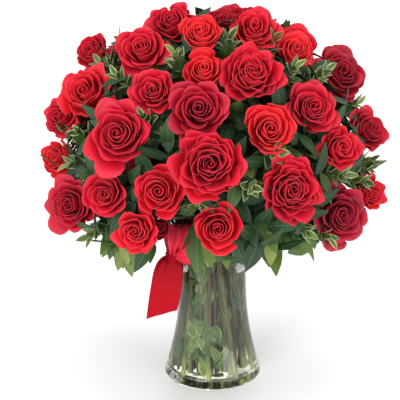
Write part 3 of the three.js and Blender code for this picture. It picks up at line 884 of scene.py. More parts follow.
def petal_sheets(radius, height, kind, draw):
    """Middle surfaces of a head's petals, (petals, rows, columns, 3), the seat at the origin and the
    axis +Z.

    s runs from the bud (0) to the outermost petal (1), v up the petal and u across it. A petal is a
    stretch of a cup: its distance from the axis and its height follow a cubic through the seat, the
    foot of the cup, the wall and the lip, where cups grow with s and lips stand out more with s. The
    petal spans an angle that falls from two thirds of a turn at the bud to less than a fifth
    outside, and it narrows to its foot by a sine. Its corners are rounded off by running v short
    towards |u| = 1, the last third rolls outwards, most of all beside the tip, and waves of a few
    lobes ruffle the lip. Petals follow each other by the golden angle, and one side of each is
    tucked under the next."""
    look = HEAD_KINDS[kind]
    count = look["petals"] if radius > FEWER_BELOW else int(look["petals"] * FEWER_SHARE)
    order = np.arange(count)[:, None, None]
    s = ((order + 0.5) / count) ** 0.88
    v, u = sheet_places(PETAL_ROWS, PETAL_COLUMNS)
    shake = draw.normal(size=(8, count, 1, 1))
    w = v * (1 - 0.09 * np.abs(u) - 0.17 * np.abs(u) ** 2.6)

    # The cubic from the seat to the lip: distance from the axis, and height.
    cup = radius * (0.05 + look["cup"] * s**0.92) * (1 + 0.05 * shake[7])
    flare = look["flare"] * s**1.7 * (1 + 0.30 * shake[0]) + 0.03 - 0.05 * (1 - s) ** 3
    lip = cup + radius * flare
    top = height * (look["top"] - look["drop"] * s**1.9) * (1 + 0.05 * shake[1])
    knots_out = [0.05 * radius + 0.05 * radius * s, 1.15 * cup + 0.05 * radius, 1.02 * cup, lip]
    knots_up = [0.0, 0.02 * height, 0.76 * top, top]
    weights = [(1 - w) ** 3, 3 * w * (1 - w) ** 2, 3 * w**2 * (1 - w), w**3]
    out = sum(a * b for a, b in zip(weights, knots_out))
    rise = sum(a * b for a, b in zip(weights, knots_up))

    # The lip rolls over, more beside the tip than at it, and is ruffled.
    t = np.clip((w - 0.66) / 0.34, 0, 1)
    roll = look["roll"] * radius * s**0.8 * (1 + 0.35 * shake[2])
    out = out + roll * 0.10 * t**2 * (0.35 + 0.9 * np.abs(u) ** 1.6)
    rise = rise - roll * 0.16 * t**3 * (0.5 + np.abs(u) ** 1.6)
    waves = np.sin(u * (2.6 + 0.5 * shake[3]) + shake[4] * 3) + 0.6 * np.sin(u * 6.0 + shake[5] * 3)
    ruffle = look["ruffle"] * radius
    out = out + ruffle * waves * v**3 * (0.5 + s)
    rise = rise + 1.1 * ruffle * np.cos(u * 4.2 + shake[4] * 3) * v**3 * (0.5 + s)

    # One side is further out than the other, and the petal is wrapped round the axis.
    out = out * (1 + (0.04 + 0.16 * (1 - s) ** 2) * u)
    span = 0.56 + 1.60 * (1 - s) ** 2.2
    wide = 0.34 + 0.66 * np.sin(0.5 * math.pi * np.clip(v / 0.62, 0, 1))
    angle = order * GOLDEN_TURN + 0.22 * shake[6] + u * span * wide + 0.12 * v
    return np.stack([out * np.cos(angle), out * np.sin(angle), rise], -1)


def make_head(head, material, settings):
    """One head: its petals turned from +Z to the way it looks and seated on its base."""
    number = head["number"]
    draw = np.random.default_rng(500 + number)
    if number in HEAD_LOOKS:
        kind, tone, full = HEAD_LOOKS[number]
    else:
        kind = BACK_KINDS[number % len(BACK_KINDS)]
        tone = BACK_DARKEST + BACK_RANGE * ((number * 0.618) % 1)
        full = BACK_FULLNESS
    size = full * settings.fullness * head["radius"]
    local = petal_sheets(size, head["height"] * (0.65 + 0.35 * full), kind, draw)
    axis = head["gaze"]
    across, up = (side[0] for side in sides_of(axis[None], UP + 0.001))
    place = local[..., :1] * across + local[..., 1:2] * up + local[..., 2:] * axis + head["base"]
    v, u = sheet_places(PETAL_ROWS, PETAL_COLUMNS)
    own = np.clip(tone + 0.07 * draw.normal(size=(len(local), 1, 1)), 0, 1)
    shell = Shell()
    add_sheets(shell, place, settings.thickness, lip=v, across=u, tone=own)
    put(f"{head['name']}_petals", shell, material, [head["name"]])


# ---------------------------------------------------------------- stems and sepals

# Radii of a stem at its foot and at its head, and of a branch at the fork and at its head. A stem's
# tone runs from 0 at the cut foot to that of fresh bark.
STEM_RADII = [0.0033, 0.0022]
BRANCH_RADII = [0.0025, 0.0020]
FORK_TONE = 0.5
FRESH_TONE = 0.85
# The urn of a hip under a large head: [below the seat, radius] of each ring in mm, and its two ends.
HIP_RINGS = np.array([[-13, 2.1], [-10, 3.2], [-6.5, 4.6], [-3.5, 5.0], [-1.0, 3.0]])
HIP_ENDS = np.array([[-14.0], [-0.3]])
SEPAL_THICKNESS = 0.0007


def make_stems(material):
    """All stems and branches: smooth curves through the same stations as the solids' stems, their
    radius falling evenly along them."""
    shell = Shell()
    for plan in PLANS:
        first, *others = plan["carried"]
        path = smooth_path(plan["route"] + last_places(first), 46)
        share = np.linspace(0, 1, len(path))
        radius = STEM_RADII[0] - (STEM_RADII[0] - STEM_RADII[1]) * share
        radius[0] *= 0.9
        add_tube(shell, path, radius, 10, tone=np.clip(share, 0, FRESH_TONE))
        for head in others:
            path = smooth_path([plan["fork"]] + last_places(head), 22)
            tone = np.linspace(FORK_TONE, FRESH_TONE, len(path))
            add_tube(shell, path, np.linspace(*BRANCH_RADII, len(path)), 8, tone=tone)
    put("rose_stems", shell, material, STEM_NODES)


def make_sepals(material):
    """Under each head a hip and five sepals. The hip is a small lathed urn. A sepal reaches out by
    reach * t and narrows to a point as (1 - t)^0.7. It lies in the head's own directions, arched up
    by t (1 - t), let down towards its tip by t^3, and hollow across."""
    shell = Shell()
    hint = np.array([0.2, 0.1, 1.0])
    for head in HEADS:
        across, up = sides_of(head["axis"][None], hint)
        turn = np.arange(12) * TURN / 12
        rise = HIP_RINGS[:, 0] * MM
        wide = HIP_RINGS[:, 1] * MM * (0.6 + 0.4 * head["radius"] / 0.03)
        ring = np.cos(turn)[:, None] * across + np.sin(turn)[:, None] * up
        rings = head["base"] + rise[:, None, None] * head["axis"] + wide[:, None, None] * ring[None]
        ends = head["base"] + HIP_ENDS * MM * head["axis"]
        add_closed(shell, rings, *ends, tone=0.6, along=0.5, across=0.6, cream=0.0)

        across, up = (side[0] for side in sides_of(head["gaze"][None], hint))
        t, u = sheet_places(7, 3)
        phase = (np.arange(5) * TURN / 5 + head["number"])[:, None, None, None]
        reach = 0.72 * head["radius"]
        half = 0.30 * head["radius"] * (1 - t) ** 0.7 * (0.35 + t) ** 0.4
        sag = -0.0035 + 0.55 * reach * t * (1 - t) - 0.10 * reach * t**3 + 0.0025 * np.abs(u)
        far = np.cos(phase) * across + np.sin(phase) * up
        side = -np.sin(phase) * across + np.cos(phase) * up
        middle = head["base"] + (0.003 + reach * t)[..., None] * far + (u * half)[..., None] * side
        middle = middle + sag[..., None] * head["gaze"]
        add_sheets(
            shell, middle, SEPAL_THICKNESS, tone=0.66, along=t, across=u * 0.8 + 0.1, cream=0.0
        )
    put("sepals", shell, material, [])


# ---------------------------------------------------------------- leaves

LEAF_THICKNESS = 0.0006
# Reach from the dome's middle of the front leaves' bases and tips, and of the bunches of the fringe.
FRONT_LEAF_BASE = 0.146
FRONT_LEAF_TIP = 0.197
FRINGE_REACH = 0.176
FRINGE_COUNT = 7
# Leaves of the fringe start this far from the vase's axis, outside its rim.
RIM_CLEAR = 0.056
# The long twigs and the filling leaves: how far their heights fall from the top of the ball, as a share
# of its radius, and how many twigs there are and how far they reach.
TWIG_FALL = 1.30
FILLING_FALL = 1.36
TWIG_COUNT = 64
TWIG_REACH = 0.150
# Radii of a long twig at its foot and its end, of a short one that carries one leaf, and of a sprig's.
TWIG_RADII = [0.0019, 0.0011]
SHORT_TWIG = 0.0009
SPRIG_RADII = [0.0013, 0.0006]
# A sprig: the reach of its middle, how many leaves it has, and the reach that none of them passes.
SPRIG_REACH = 0.176
SPRIG_COUNT = 13
SPRIG_LIMIT = 0.203


def add_leaves(shell, base, along, normal, length, width, tone, cream, arch, draw, rows=11, columns=7):
    """Many leaves at once. With v from stalk to tip and u across, a blade's half width is
    width/2 * sin(pi * v^0.82)^0.85 * (1 - 0.18 v). It is folded along the mid rib, arched down by
    arch * length * v^2, waved along its sides, and thinner towards them."""
    v, u = sheet_places(rows, columns)
    wide = np.sin(math.pi * np.clip(v, 0.015, 0.985) ** 0.82) ** 0.85 * (1 - 0.18 * v)
    length, width, arch = (np.reshape(x, (-1, 1, 1)) for x in (length, width, arch))
    phase = draw.uniform(0, TURN, (len(base), 1, 1))
    side = u * wide * width / 2
    lift = 0.20 * np.abs(side) - arch * length * v**2
    lift = lift + 0.045 * width * np.sin(9 * v + phase + 2.2 * np.sign(u)) * np.abs(u) ** 1.5 * wide
    normal = unit(normal - along * (normal * along).sum(-1, keepdims=True))
    across = np.cross(normal, along)
    middle = (
        base[:, None, None]
        + (v * length)[..., None] * along[:, None, None]
        + side[..., None] * across[:, None, None]
        + lift[..., None] * normal[:, None, None]
    )
    thick = LEAF_THICKNESS * (1 - 0.4 * np.abs(u))
    tone, cream = (np.reshape(x, (-1, 1, 1)) for x in (tone, cream))
    add_sheets(shell, middle, thick, along=v, across=u, tone=tone, cream=cream)


def aimed(base, tip):
    """Direction and length from bases to tips."""
    step = tip - base
    return unit(step), np.linalg.norm(step, axis=-1)


def twig_paths():
    """Thin twigs from the neck of the vase out into the dome, evenly spread over it: each goes up
    through the neck, leaves the rim the further out the more it leans, and bends up to its end."""
    paths = []
    for direction in golden_spread(TWIG_COUNT, 1.0, TWIG_FALL, 0.0):
        flat = unit(np.array([direction[0], direction[1], 0.0]))
        lean = math.acos(direction[2])
        neck = flat * (0.006 + 0.013 * lean / 1.9) + UP * 0.19
        rim = flat * (0.010 + 0.028 * lean / 1.9) + UP * (0.228 - 0.010 * lean)
        end = DOME_CENTRE + TWIG_REACH * direction
        bend = (rim + end) / 2 + UP * 0.012 * lean
        paths.append(smooth_path([neck, rim, bend, end], 15))
    return np.array(paths)


def add_front_leaves(shell, draw):
    """The big leaves placed in front. Gives their bases."""
    places = np.array(FRONT_LEAVES, float) * MM
    base = np.array([seen_place(a, b, FRONT_LEAF_BASE) for _, _, a, b, _ in places])
    tip = np.array([seen_place(a, b, FRONT_LEAF_TIP) for a, b, _, _, _ in places])
    along, length = aimed(base, tip)
    normal = np.cross(along, SEEN_RIGHT) * 0.5 + unit(base - DOME_CENTRE) * 0.5
    count = len(base)
    add_leaves(
        shell, base, along, normal, length * 1.06, places[:, 4] * 1.1, draw.uniform(0.4, 0.8, count),
        np.zeros(count), np.full(count, 0.10), draw,
    )
    return base


def add_hanging_leaves(shell, draw):
    """The leaves that hang under the lowest heads. Gives their bases."""
    looks = [HANGING_BY_RIM if by_rim else HANGING_WIDER for _, by_rim in HANGING_LEAVES]
    pairs = list(zip(looks, np.radians([degrees for degrees, _ in HANGING_LEAVES])))
    base = np.array([around(look["base"][0], turn, look["base"][1]) for look, turn in pairs])
    tip = np.array([around(look["tip"][0], turn + look["swing"], look["tip"][1]) for look, turn in pairs])
    along, length = aimed(base, tip)
    normal = np.array([around(1, turn, look["face"]) for look, turn in pairs])
    count = len(base)
    add_leaves(
        shell, base, along, normal, length * 1.05, np.array([look["width"] for look in looks]),
        draw.uniform(0.62, 1.0, count), np.zeros(count), np.full(count, 0.12), draw,
    )
    return base


def add_fringe(shell, draw):
    """The bunches of leaves below the dome in front: each has its leaves round one spot, aimed out
    and down with a random lean, their faces to the front. Gives their bases."""
    roots = []
    for across, up, tone in FRINGE:
        reach = max(FRINGE_REACH, math.hypot(across, up) * MM + 0.006)
        spot = seen_place(across * MM, up * MM, reach)
        lean = draw.normal(size=(FRINGE_COUNT, 3)) * 0.55
        away = unit(spot - DOME_CENTRE)
        along = unit(away * 0.55 - UP * 0.75 + lean)
        base = spot + 0.006 * draw.normal(size=(FRINGE_COUNT, 3)) - 0.020 * away + 0.008 * UP
        length = draw.uniform(0.022, 0.033, FRINGE_COUNT)
        face = 0.5 * away + 0.9 * SEEN_FRONT + 0.4 * lean
        shades = np.clip(tone + 0.14 * draw.normal(size=FRINGE_COUNT), 0, 1)
        keep = ~hides_bow(np.stack([base, base + along * length[:, None]], 1))
        keep &= np.linalg.norm(base[:, :2], axis=1) > RIM_CLEAR
        count = keep.sum()
        add_leaves(
            shell, base[keep], along[keep], face[keep], length[keep], 0.55 * length[keep],
            shades[keep], np.zeros(count), np.full(count, 0.08), draw, rows=7, columns=5,
        )
        roots.append(base[keep])
    return roots


def add_filling(shell, draw, count, deep, rise, long, wide, shade, start):
    """One layer of small leaves evenly spread over the dome, each across the way out at a random turn. They
    reach further where there is room between the heads, and their green is painted lighter there, as
    painted light, and darker deep between the heads, as painted shade. Gives their bases."""
    out = golden_spread(count, 1.0, FILLING_FALL, start)
    free = np.clip(room_at(DOME_CENTRE + (DOME_RADIUS - 0.012) * out) / 0.014, 0, 1)
    reach = deep + rise * free + draw.uniform(-0.004, 0.004, count)
    across, up = sides_of(out, UP + 0.01)
    heading = draw.uniform(0, TURN, count)[:, None]
    aside = np.cos(heading) * across + np.sin(heading) * up
    tip = DOME_CENTRE + reach[:, None] * unit(out + 0.5 * long / deep * aside)
    base = DOME_CENTRE + (reach - 0.62 * long)[:, None] * unit(out - 0.35 * long / deep * aside)
    along, length = aimed(base, tip)
    normal = out * 0.7 - aside * 0.6 + 0.3 * draw.normal(size=(count, 3))
    width = wide * draw.uniform(0.85, 1.15, count)
    # Painted light and shade: a leaf's tone rises from the darkest one where the heads crowd it to lighter
    # where there is room.
    tone = np.clip(shade + 0.21 * free + 0.10 * draw.normal(size=count), 0, 1)
    arch = draw.uniform(0.02, 0.16, count)
    keep = ~hides_bow(np.stack([base, (base + tip) / 2, tip], 1))
    add_leaves(
        shell, base[keep], along[keep], normal[keep], length[keep], width[keep], tone[keep],
        np.zeros(keep.sum()), arch[keep], draw, rows=7, columns=5,
    )
    return base[keep]


def make_foliage(leaf, stem, settings):
    """Broad leaves: those placed in front, those that hang under the dome, and a filling of leaves all
    round, deep between the heads and further out where there is room, whose darker green between the heads
    is painted shade. Each has a twig of its own from the nearest of the long twigs."""
    draw = np.random.default_rng(77)
    blades, twigs = Shell(), Shell()
    paths = twig_paths()
    for path in paths:
        tone = np.linspace(0.4, FRESH_TONE, len(path))
        add_tube(twigs, path, np.linspace(*TWIG_RADII, len(path)), 6, tone=tone)
    roots = [add_front_leaves(blades, draw), add_hanging_leaves(blades, draw), *add_fringe(blades, draw)]
    for counted_by, *numbers in FILLING:
        roots.append(add_filling(blades, draw, getattr(settings, counted_by), *numbers))
    knots = paths[:, 5:].reshape(-1, 3)
    for end in np.concatenate(roots):
        near = knots[np.argmin(np.linalg.norm(knots - end, axis=1))]
        middle = (near + end) / 2 + 0.004 * unit(end - DOME_CENTRE)
        add_tube(twigs, smooth_path([near, middle, end], 5), SHORT_TWIG, 4, tone=FRESH_TONE)
    put("leaves", blades, leaf, [])
    put("leaf_twigs", twigs, stem, [])


def make_sprigs(leaf, stem):
    """Sprigs of small leaves with cream rims, in front where they are listed and behind wherever there is
    room: leaves set by the golden angle round the end of a twig, smaller and closer to it towards its tip."""
    draw = np.random.default_rng(31)
    blades, twigs = Shell(), Shell()
    spots = [seen_place(a * MM, b * MM, SPRIG_REACH) for a, b in SPRIGS]
    out = golden_spread(90, 0.96, 1.1, 2.0)
    behind = (out @ SEEN_FRONT < 0.0) & (room_at(DOME_CENTRE + SPRIG_REACH * out) > 0.0055)
    spots += list(DOME_CENTRE + SPRIG_REACH * out[behind])
    place = np.linspace(0, 1, SPRIG_COUNT)
    for spot in spots:
        out = unit(spot - DOME_CENTRE)
        start = DOME_CENTRE + 0.105 * unit(out + 0.12 * draw.normal(size=3))
        end = DOME_CENTRE + 0.187 * out
        path = smooth_path([start, DOME_CENTRE + 0.150 * out, end], 12)
        add_tube(twigs, path, np.linspace(*SPRIG_RADII, len(path)), 6, tone=FRESH_TONE)
        base = path[np.minimum((5 + 6.5 * place).astype(int), 11)]
        across, up = sides_of(out[None], np.array([0.3, 0.2, 1.0]))
        angle = (np.arange(SPRIG_COUNT) * GOLDEN_TURN + draw.uniform(0, TURN))[:, None]
        aside = np.cos(angle) * across + np.sin(angle) * up
        open_angle = np.radians(62 - 38 * place)[:, None]
        along = unit(np.cos(open_angle) * out + np.sin(open_angle) * aside)
        normal = np.sin(open_angle) * out - np.cos(open_angle) * aside
        length = (0.027 - 0.011 * place) * draw.uniform(0.85, 1.1, SPRIG_COUNT)
        tip = base + along * length[:, None]
        keep = np.linalg.norm(tip - DOME_CENTRE, axis=1) < SPRIG_LIMIT
        keep &= ~hides_bow(np.stack([base, tip], 1))
        count = keep.sum()
        add_leaves(
            blades, base[keep], along[keep], normal[keep], length[keep], 0.56 * length[keep],
            np.clip(0.66 + 0.12 * draw.normal(size=count), 0, 1),
            draw.uniform(0.35, 0.9, count), np.full(count, 0.10), draw, rows=7, columns=5,
        )
    put("variegated_leaves", blades, leaf, [])
    put("sprig_twigs", twigs, stem, [])


def add_greenery_stems(shell, draw, count):
    """Thin stems that stand in the water, set by the golden angle: an inner set crosses between the
    rose stems, an outer set leans on the glass. All their feet are a little left of the middle."""
    aside = np.array([-0.010, 0.004, 0])
    for number in range(count):
        turn = number * GOLDEN_TURN + 0.4
        share = math.sqrt((number + 0.5) / count)
        foot = 0.010 + 0.026 * share
        outer = max(share - 0.70, 0) / 0.30
        path = smooth_path(
            [
                around(foot, turn + 0.5, 0.0100) + aside,
                around(0.9 * foot + 0.002 * outer, turn + 0.3, 0.070) + aside / 2,
                around(0.5 * foot + 0.012 * outer, turn + 0.1, 0.130),
                around(0.4 * foot + 0.022 * outer, turn, 0.200),
                around(0.7 * foot + 0.012 * outer, turn, 0.235),
            ],
            24,
        )
        thick = draw.uniform(0.0016, 0.0024)
        old = math.cos(turn + 0.1 - OLD_STEMS) > 0.80
        tone = OLD_TONE if old else GREENERY_TONES[number % len(GREENERY_TONES)]
        add_tube(shell, path, np.linspace(thick, 0.0015, len(path)), 8, tone=tone)


def add_vase_leaves(shell, draw):
    """Small leaves left on the stems in the vase, near the glass: each stands up or hangs down along
    it with a random swing, and is left out where it would pass through the wall or the floor."""
    places, tones = [], []
    for turn, spread, low, high, count, lightest in VASE_LEAVES:
        where = turn + draw.normal(size=count) * spread
        height = draw.uniform(low, high, count)
        inner = vase_radius(height) - VASE_WALL - 0.003
        ring = inner * draw.uniform(0.60, 0.95, count)
        places += [around(r, t, z) for r, t, z in zip(ring, where, height)]
        tones.append(draw.uniform(0.5, 1.0, count) * lightest)
    middle = np.array(places)
    count = len(middle)
    out = unit(middle * np.array([1, 1, 0]))
    side = np.cross(UP, out)
    swing = draw.uniform(-0.9, 0.9, count)[:, None]
    along = unit(UP * draw.choice([1.0, -1.0], (count, 1)) + side * swing)
    length = draw.uniform(0.015, 0.028, count)
    base = middle - along * length[:, None] / 2
    tip = base + along * length[:, None]
    reach = np.linalg.norm(tip[:, :2], axis=1)
    top, bottom = np.maximum(tip[:, 2], base[:, 2]), np.minimum(tip[:, 2], base[:, 2])
    limit = vase_radius(np.clip(top, 0.02, VASE_HEIGHT)) - VASE_WALL - 0.0015
    keep = (reach < limit) & (bottom > VASE_FLOOR + 0.003)
    count = keep.sum()
    add_leaves(
        shell, base[keep], along[keep], out[keep] + 0.3 * side[keep], length[keep], 0.5 * length[keep],
        np.concatenate(tones)[keep], draw.uniform(0, 0.4, count), np.full(count, 0.05),
        draw, rows=7, columns=5,
    )


def make_vase_greens(leaf, stem, settings):
    """The greenery in the vase: thin stems, and small leaves, most of them at the front left, by the
    neck and by the foot."""
    draw = np.random.default_rng(12)
    blades, twigs = Shell(), Shell()
    add_greenery_stems(twigs, draw, settings.greenery_stems)
    add_vase_leaves(blades, draw)
    put("vase_leaves", blades, leaf, [])
    put("greenery_stems", twigs, stem, [])


# ---------------------------------------------------------------- glass and water

# The hollow beneath the foot, as (radius, height) from the axis outwards, and the round of its edge.
FOOT_HOLLOW = [(0.0, 0.0022), (0.02, 0.0021), (0.036, 0.0014), (0.045, 0.0003)]
FOOT_ROUND = 0.008
# The inner floor, a little lower towards the axis.
INNER_FLOOR = [(0.030, VASE_FLOOR - 0.0003), (0.015, VASE_FLOOR - 0.0005), (0.0, VASE_FLOOR - 0.0006)]
# How far the water runs into the glass, so that no air lies between them, and its top: how wide the
# rise at the wall is and how high.
WET = 0.0002
RISE_WIDTH = 0.006
RISE_HEIGHT = 0.0016


def arc(centre, radius, start, end, count):
    """Points (radius, height) on an arc between two angles in degrees."""
    angle = np.radians(np.linspace(start, end, count))
    return np.stack([centre[0] + radius * np.cos(angle), centre[1] + radius * np.sin(angle)], -1)


def inner_corner():
    """Where the vase's straight inner wall ends above the floor's round corner: (radius, height)."""
    height = VASE_FLOOR + VASE_CORNER
    return float(vase_radius(height)) - VASE_WALL, height


def make_vase(material):
    """The glass as one lathed profile: a foot hollowed a little beneath, its rounded edge, the waist,
    the rounded rim, and inside again down to a thick floor. It casts no shadow, because glass would
    otherwise cast one as dark as that of a solid thing on what stands in it."""
    rim_height = VASE_HEIGHT - VASE_WALL / 2
    height = np.linspace(VASE_FOOT_HEIGHT, rim_height, 44)
    outside = np.stack([vase_radius(height), height], -1)
    foot = arc((VASE_FOOT - FOOT_ROUND, FOOT_ROUND), FOOT_ROUND, -90, 0, 9)[:-1]
    rim = arc((vase_radius(VASE_HEIGHT) - VASE_WALL / 2, rim_height), VASE_WALL / 2, 8, 172, 9)
    low, corner_height = inner_corner()
    inner_height = np.linspace(rim_height, corner_height, 42)
    inside = np.stack([vase_radius(inner_height) - VASE_WALL, inner_height], -1)
    corner_middle = (low - VASE_CORNER_ROUND, VASE_FLOOR + VASE_CORNER_ROUND)
    corner = arc(corner_middle, VASE_CORNER_ROUND, 0, -88, 10)[1:]
    profile = np.concatenate([FOOT_HOLLOW, foot, outside, rim, inside, corner, INNER_FLOOR])
    shell = Shell()
    add_lathe(shell, profile, 112)
    glass = put("vase_glass", shell, material, ["vase"], crease=GLASS_CREASE)
    glass.visible_shadow = False


def make_water(material):
    """The water: it fills the glass to its inner wall, and its top climbs at the wall with the square
    of how near it is. It casts no shadow, for the same reason as the glass."""
    low = inner_corner()[0] + WET
    corner_middle = (low - VASE_CORNER_ROUND, VASE_FLOOR + VASE_CORNER_ROUND)
    corner = arc(corner_middle, VASE_CORNER_ROUND + WET, -88, 0, 10)
    height = np.linspace(VASE_FLOOR + 0.013, WATER_LEVEL, 30)
    side = np.stack([vase_radius(height) - VASE_WALL + WET, height], -1)
    share = np.linspace(1, 0, 9)[1:-1]
    top = np.stack(
        [side[-1][0] - RISE_WIDTH * (1 - share), WATER_LEVEL - RISE_HEIGHT * (1 - share**2)], -1
    )
    bottom = [(0.0, VASE_FLOOR - 0.0007), (0.030, VASE_FLOOR - 0.0004)]
    middle = [(0.012, WATER_LEVEL - 0.0017), (0.0, WATER_LEVEL - 0.0017)]
    shell = Shell()
    add_lathe(shell, np.concatenate([bottom, corner, side, top, middle]), 96)
    water = put("vase_water", shell, material, ["water"], crease=GLASS_CREASE)
    water.visible_shadow = False


# ---------------------------------------------------------------- ribbon

# How wide the ribbon lies at each place of a loop and of a tail, as half widths over the whole width,
# and how deep it is pleated there in mm.
LOOP_HALVES = np.array([0.15, 0.30, 0.40, 0.45, 0.40, 0.30, 0.15])
LOOP_PLEATS = np.array([2.5, 2.1, 1.4, 0.9, 1.4, 2.1, 2.5])
TAIL_HALVES = np.array([0.22, 0.44, 0.50, 0.50])
TAIL_PLEATS = np.array([2.4, 1.6, 0.8, 0.4])
LOOP_ROWS = 49
TAIL_ROWS = 41
STRIP_COLUMNS = 25
# Each loop: its places and the way across it. Each tail: the same, and how far its end is cut aslant
# to each side in mm.
LOOPS = [(TALL_LOOP, [1, -0.4, 0]), (SIDE_LOOP, [-0.45, -0.4, 1])]
TAILS = [(LONG_TAIL, [1, -0.05, 0], 9), (SHORT_TAIL, [1, 0.5, 0], -7)]
# The knot's wrap: half its thickness outwards and sideways, half its height, its wall as a share of
# the half thickness, and the length of ribbon in it.
KNOT_OUT = 0.0078
KNOT_ASIDE = 0.0088
KNOT_HALF = 0.0085
KNOT_WALL = 0.05
KNOT_LENGTH = 0.052
# The band: how far it lies off the glass, how thick its cloth is, half the height of its pleats, and
# the radius of its middle.
BAND_GAP = 0.0006
BAND_CLOTH = 0.0004
BAND_PLEAT = 0.0015
BAND_RADIUS = 0.0505

def ribbon_strip(places, across, half, pleat, pleats, rows):
    """A strip of ribbon: a smooth path through the places, its half width across it, and pleats that
    stand out from it as pleat * cos(pi * pleats * u), deepest where it is gathered. Gives the middle
    surface (1, rows, columns, 3) and the length so far at each row."""
    path = smooth_path(places, rows)
    half = smooth_path(half[:, None], rows)
    pleat = smooth_path(pleat[:, None], rows)
    along = unit(np.gradient(path, axis=0))
    across = np.array(across, float)
    across = unit(across - along * (across * along).sum(-1, keepdims=True))
    normal = np.cross(along, across)
    u = np.linspace(-1, 1, STRIP_COLUMNS)
    wave = pleat * np.cos(math.pi * pleats * u)[None]
    points = path[:, None] + (half * u)[..., None] * across[:, None] + wave[..., None] * normal[:, None]
    step = np.linalg.norm(np.diff(path, axis=0), axis=1)
    return points[None], np.concatenate([[0], np.cumsum(step)])


def add_ribbon(shell, points, run, thick, tone):
    """Adds a strip as a thin closed sheet with its run along and its place across, for the weave, and its
    tone, which picks between the painted light red of the loops and the painted shade red of the tails."""
    u = np.linspace(-1, 1, STRIP_COLUMNS)
    add_sheets(shell, points, thick, across=u, along=(run * 100)[None, :, None], tone=tone)


def from_knot(places):
    """Places given from the knot's middle as rows [to the right, to the front, up] in mm."""
    return KNOT + np.array(places, float) * np.array([1, -1, 1]) * MM


def bow_loops(settings):
    """Both loops as one shell, and the length of ribbon in them."""
    shell, long = Shell(), 0.0
    for places, across in LOOPS:
        half = settings.width * LOOP_HALVES
        points, run = ribbon_strip(from_knot(places), across, half, LOOP_PLEATS * MM, 3, LOOP_ROWS)
        # Tone 1: the loops take the painted light red.
        add_ribbon(shell, points, run, settings.thickness, 1.0)
        long += run[-1]
    return shell, long


def ribbon_tails(settings):
    """Both tails as one shell, and the length of ribbon in them. The cut end's slant grows with the
    cube of the way down, so that only the end is moved."""
    shell, long = Shell(), 0.0
    for places, across, cut in TAILS:
        half = settings.width * TAIL_HALVES
        points, run = ribbon_strip(from_knot(places), across, half, TAIL_PLEATS * MM, 2, TAIL_ROWS)
        down, side = sheet_places(TAIL_ROWS, STRIP_COLUMNS)
        slant = side * down**3 * cut * MM
        points = points + slant[..., None] * UP
        # Tone 0: the tails take the painted shade red.
        add_ribbon(shell, points, run, settings.thickness, 0.0)
        long += run[-1]
    return shell, long


def bow_knot():
    """The wrap round the middle of the bow: an upright oval whose size goes over the height u as
    1 - 0.22 u^2 + 0.20 cos(4 pi u), which gives its soft folds."""
    turn = np.linspace(0, TURN, 25)[:-1]
    axis = unit(np.array([0.15, 0.0, 1.0]))
    out = around(1, BOW_TURN, 0)
    side = np.cross(axis, out)
    ring = np.cos(turn)[:, None] * out * KNOT_OUT + np.sin(turn)[:, None] * side * KNOT_ASIDE
    u = np.linspace(-1, 1, 41)
    size = 1 - 0.22 * u**2 + 0.20 * np.cos(4 * math.pi * u)
    height = u[:, None, None] * axis
    outer = KNOT + ring[None] * size[:, None, None] + KNOT_HALF * height
    inner = KNOT + ring[None] * (size - KNOT_WALL)[:, None, None] + (KNOT_HALF - 0.0001) * height
    shell = Shell()
    add_ring_wall(shell, outer, inner, along=np.linspace(0, 5, 24))
    return shell


def ribbon_band():
    """The gathered band round the neck: it follows the glass at each height, and stands off it by
    pleats that go up and down as 1 + cos(5 pi u), shifted a little as they go round."""
    turn = np.linspace(0, TURN, 145)[:-1]
    u = np.linspace(-1, 1, 45)
    height = BAND_HEIGHT + u * BAND_WIDTH / 2
    pleat = BAND_PLEAT * (1 + np.cos(math.pi * 5 * u[:, None] + 0.6 * np.sin(3 * turn)[None]))
    inside = (vase_radius(height) + BAND_GAP)[:, None] + pleat
    ring = np.stack([np.sin(turn), -np.cos(turn), 0 * turn], -1)
    outer, inner = (
        radius[..., None] * ring[None] + height[:, None, None] * UP
        for radius in (inside + BAND_CLOTH, inside)
    )
    shell = Shell()
    add_ring_wall(shell, outer, inner, along=turn * 5)
    return shell


def make_ribbon(material, settings):
    """The band round the neck, the bow's two loops, its wrap, and its two tails with slanted ends."""
    pieces = {
        "bow_loops": (*bow_loops(settings), "gathered"),
        "ribbon_tails": (*ribbon_tails(settings), "hung"),
        "bow_knot": (bow_knot(), KNOT_LENGTH, "gathered"),
        "ribbon_band": (ribbon_band(), TURN * BAND_RADIUS, "gathered"),
    }
    for name, (shell, long, held) in pieces.items():
        thing = put(name, shell, material, ["ribbon"])


def add_ring_wall(shell, outer, inner, along):
    """A closed wall that goes round: outer and inner rings (n, steps, 3), joined at both rims. Its red lies
    between the painted light red of the loops and the painted shade red of the tails."""
    count, steps, _ = outer.shape
    loop = np.concatenate([outer, inner[::-1]])
    rows = 2 * count
    at = np.arange(rows * steps).reshape(rows, steps)
    right, below = np.roll(at, -1, axis=1), np.roll(at, -1, axis=0)
    corner = np.roll(right, -1, axis=0)
    faces = np.stack([at, right, corner, below], -1).reshape(-1, 4)
    u = np.linspace(-1, 1, count)
    across = np.broadcast_to(np.concatenate([u, u[::-1]])[:, None], (rows, steps))
    shell.add(loop, [faces], across=across, along=np.broadcast_to(along, (rows, steps)), tone=0.4)


# ---------------------------------------------------------------- stage

FLOOR_HALF = 9.0
# Lamps: name, place, size of the square, the setting that gives its power, and its share of it.
LAMPS = [
    ("top", (0.1, -0.2, 3.0), 2.6, "top", 1.0),
    ("key", (-1.3, -2.4, 1.1), 1.4, "key", 1.0),
    ("fill", (1.9, -1.9, 0.8), 1.6, "key", 0.6),
    ("back", (0.4, 2.4, 1.2), 1.6, "key", 0.3),
]
LAMP_AIM = np.array([0.0, 0.0, 0.25])
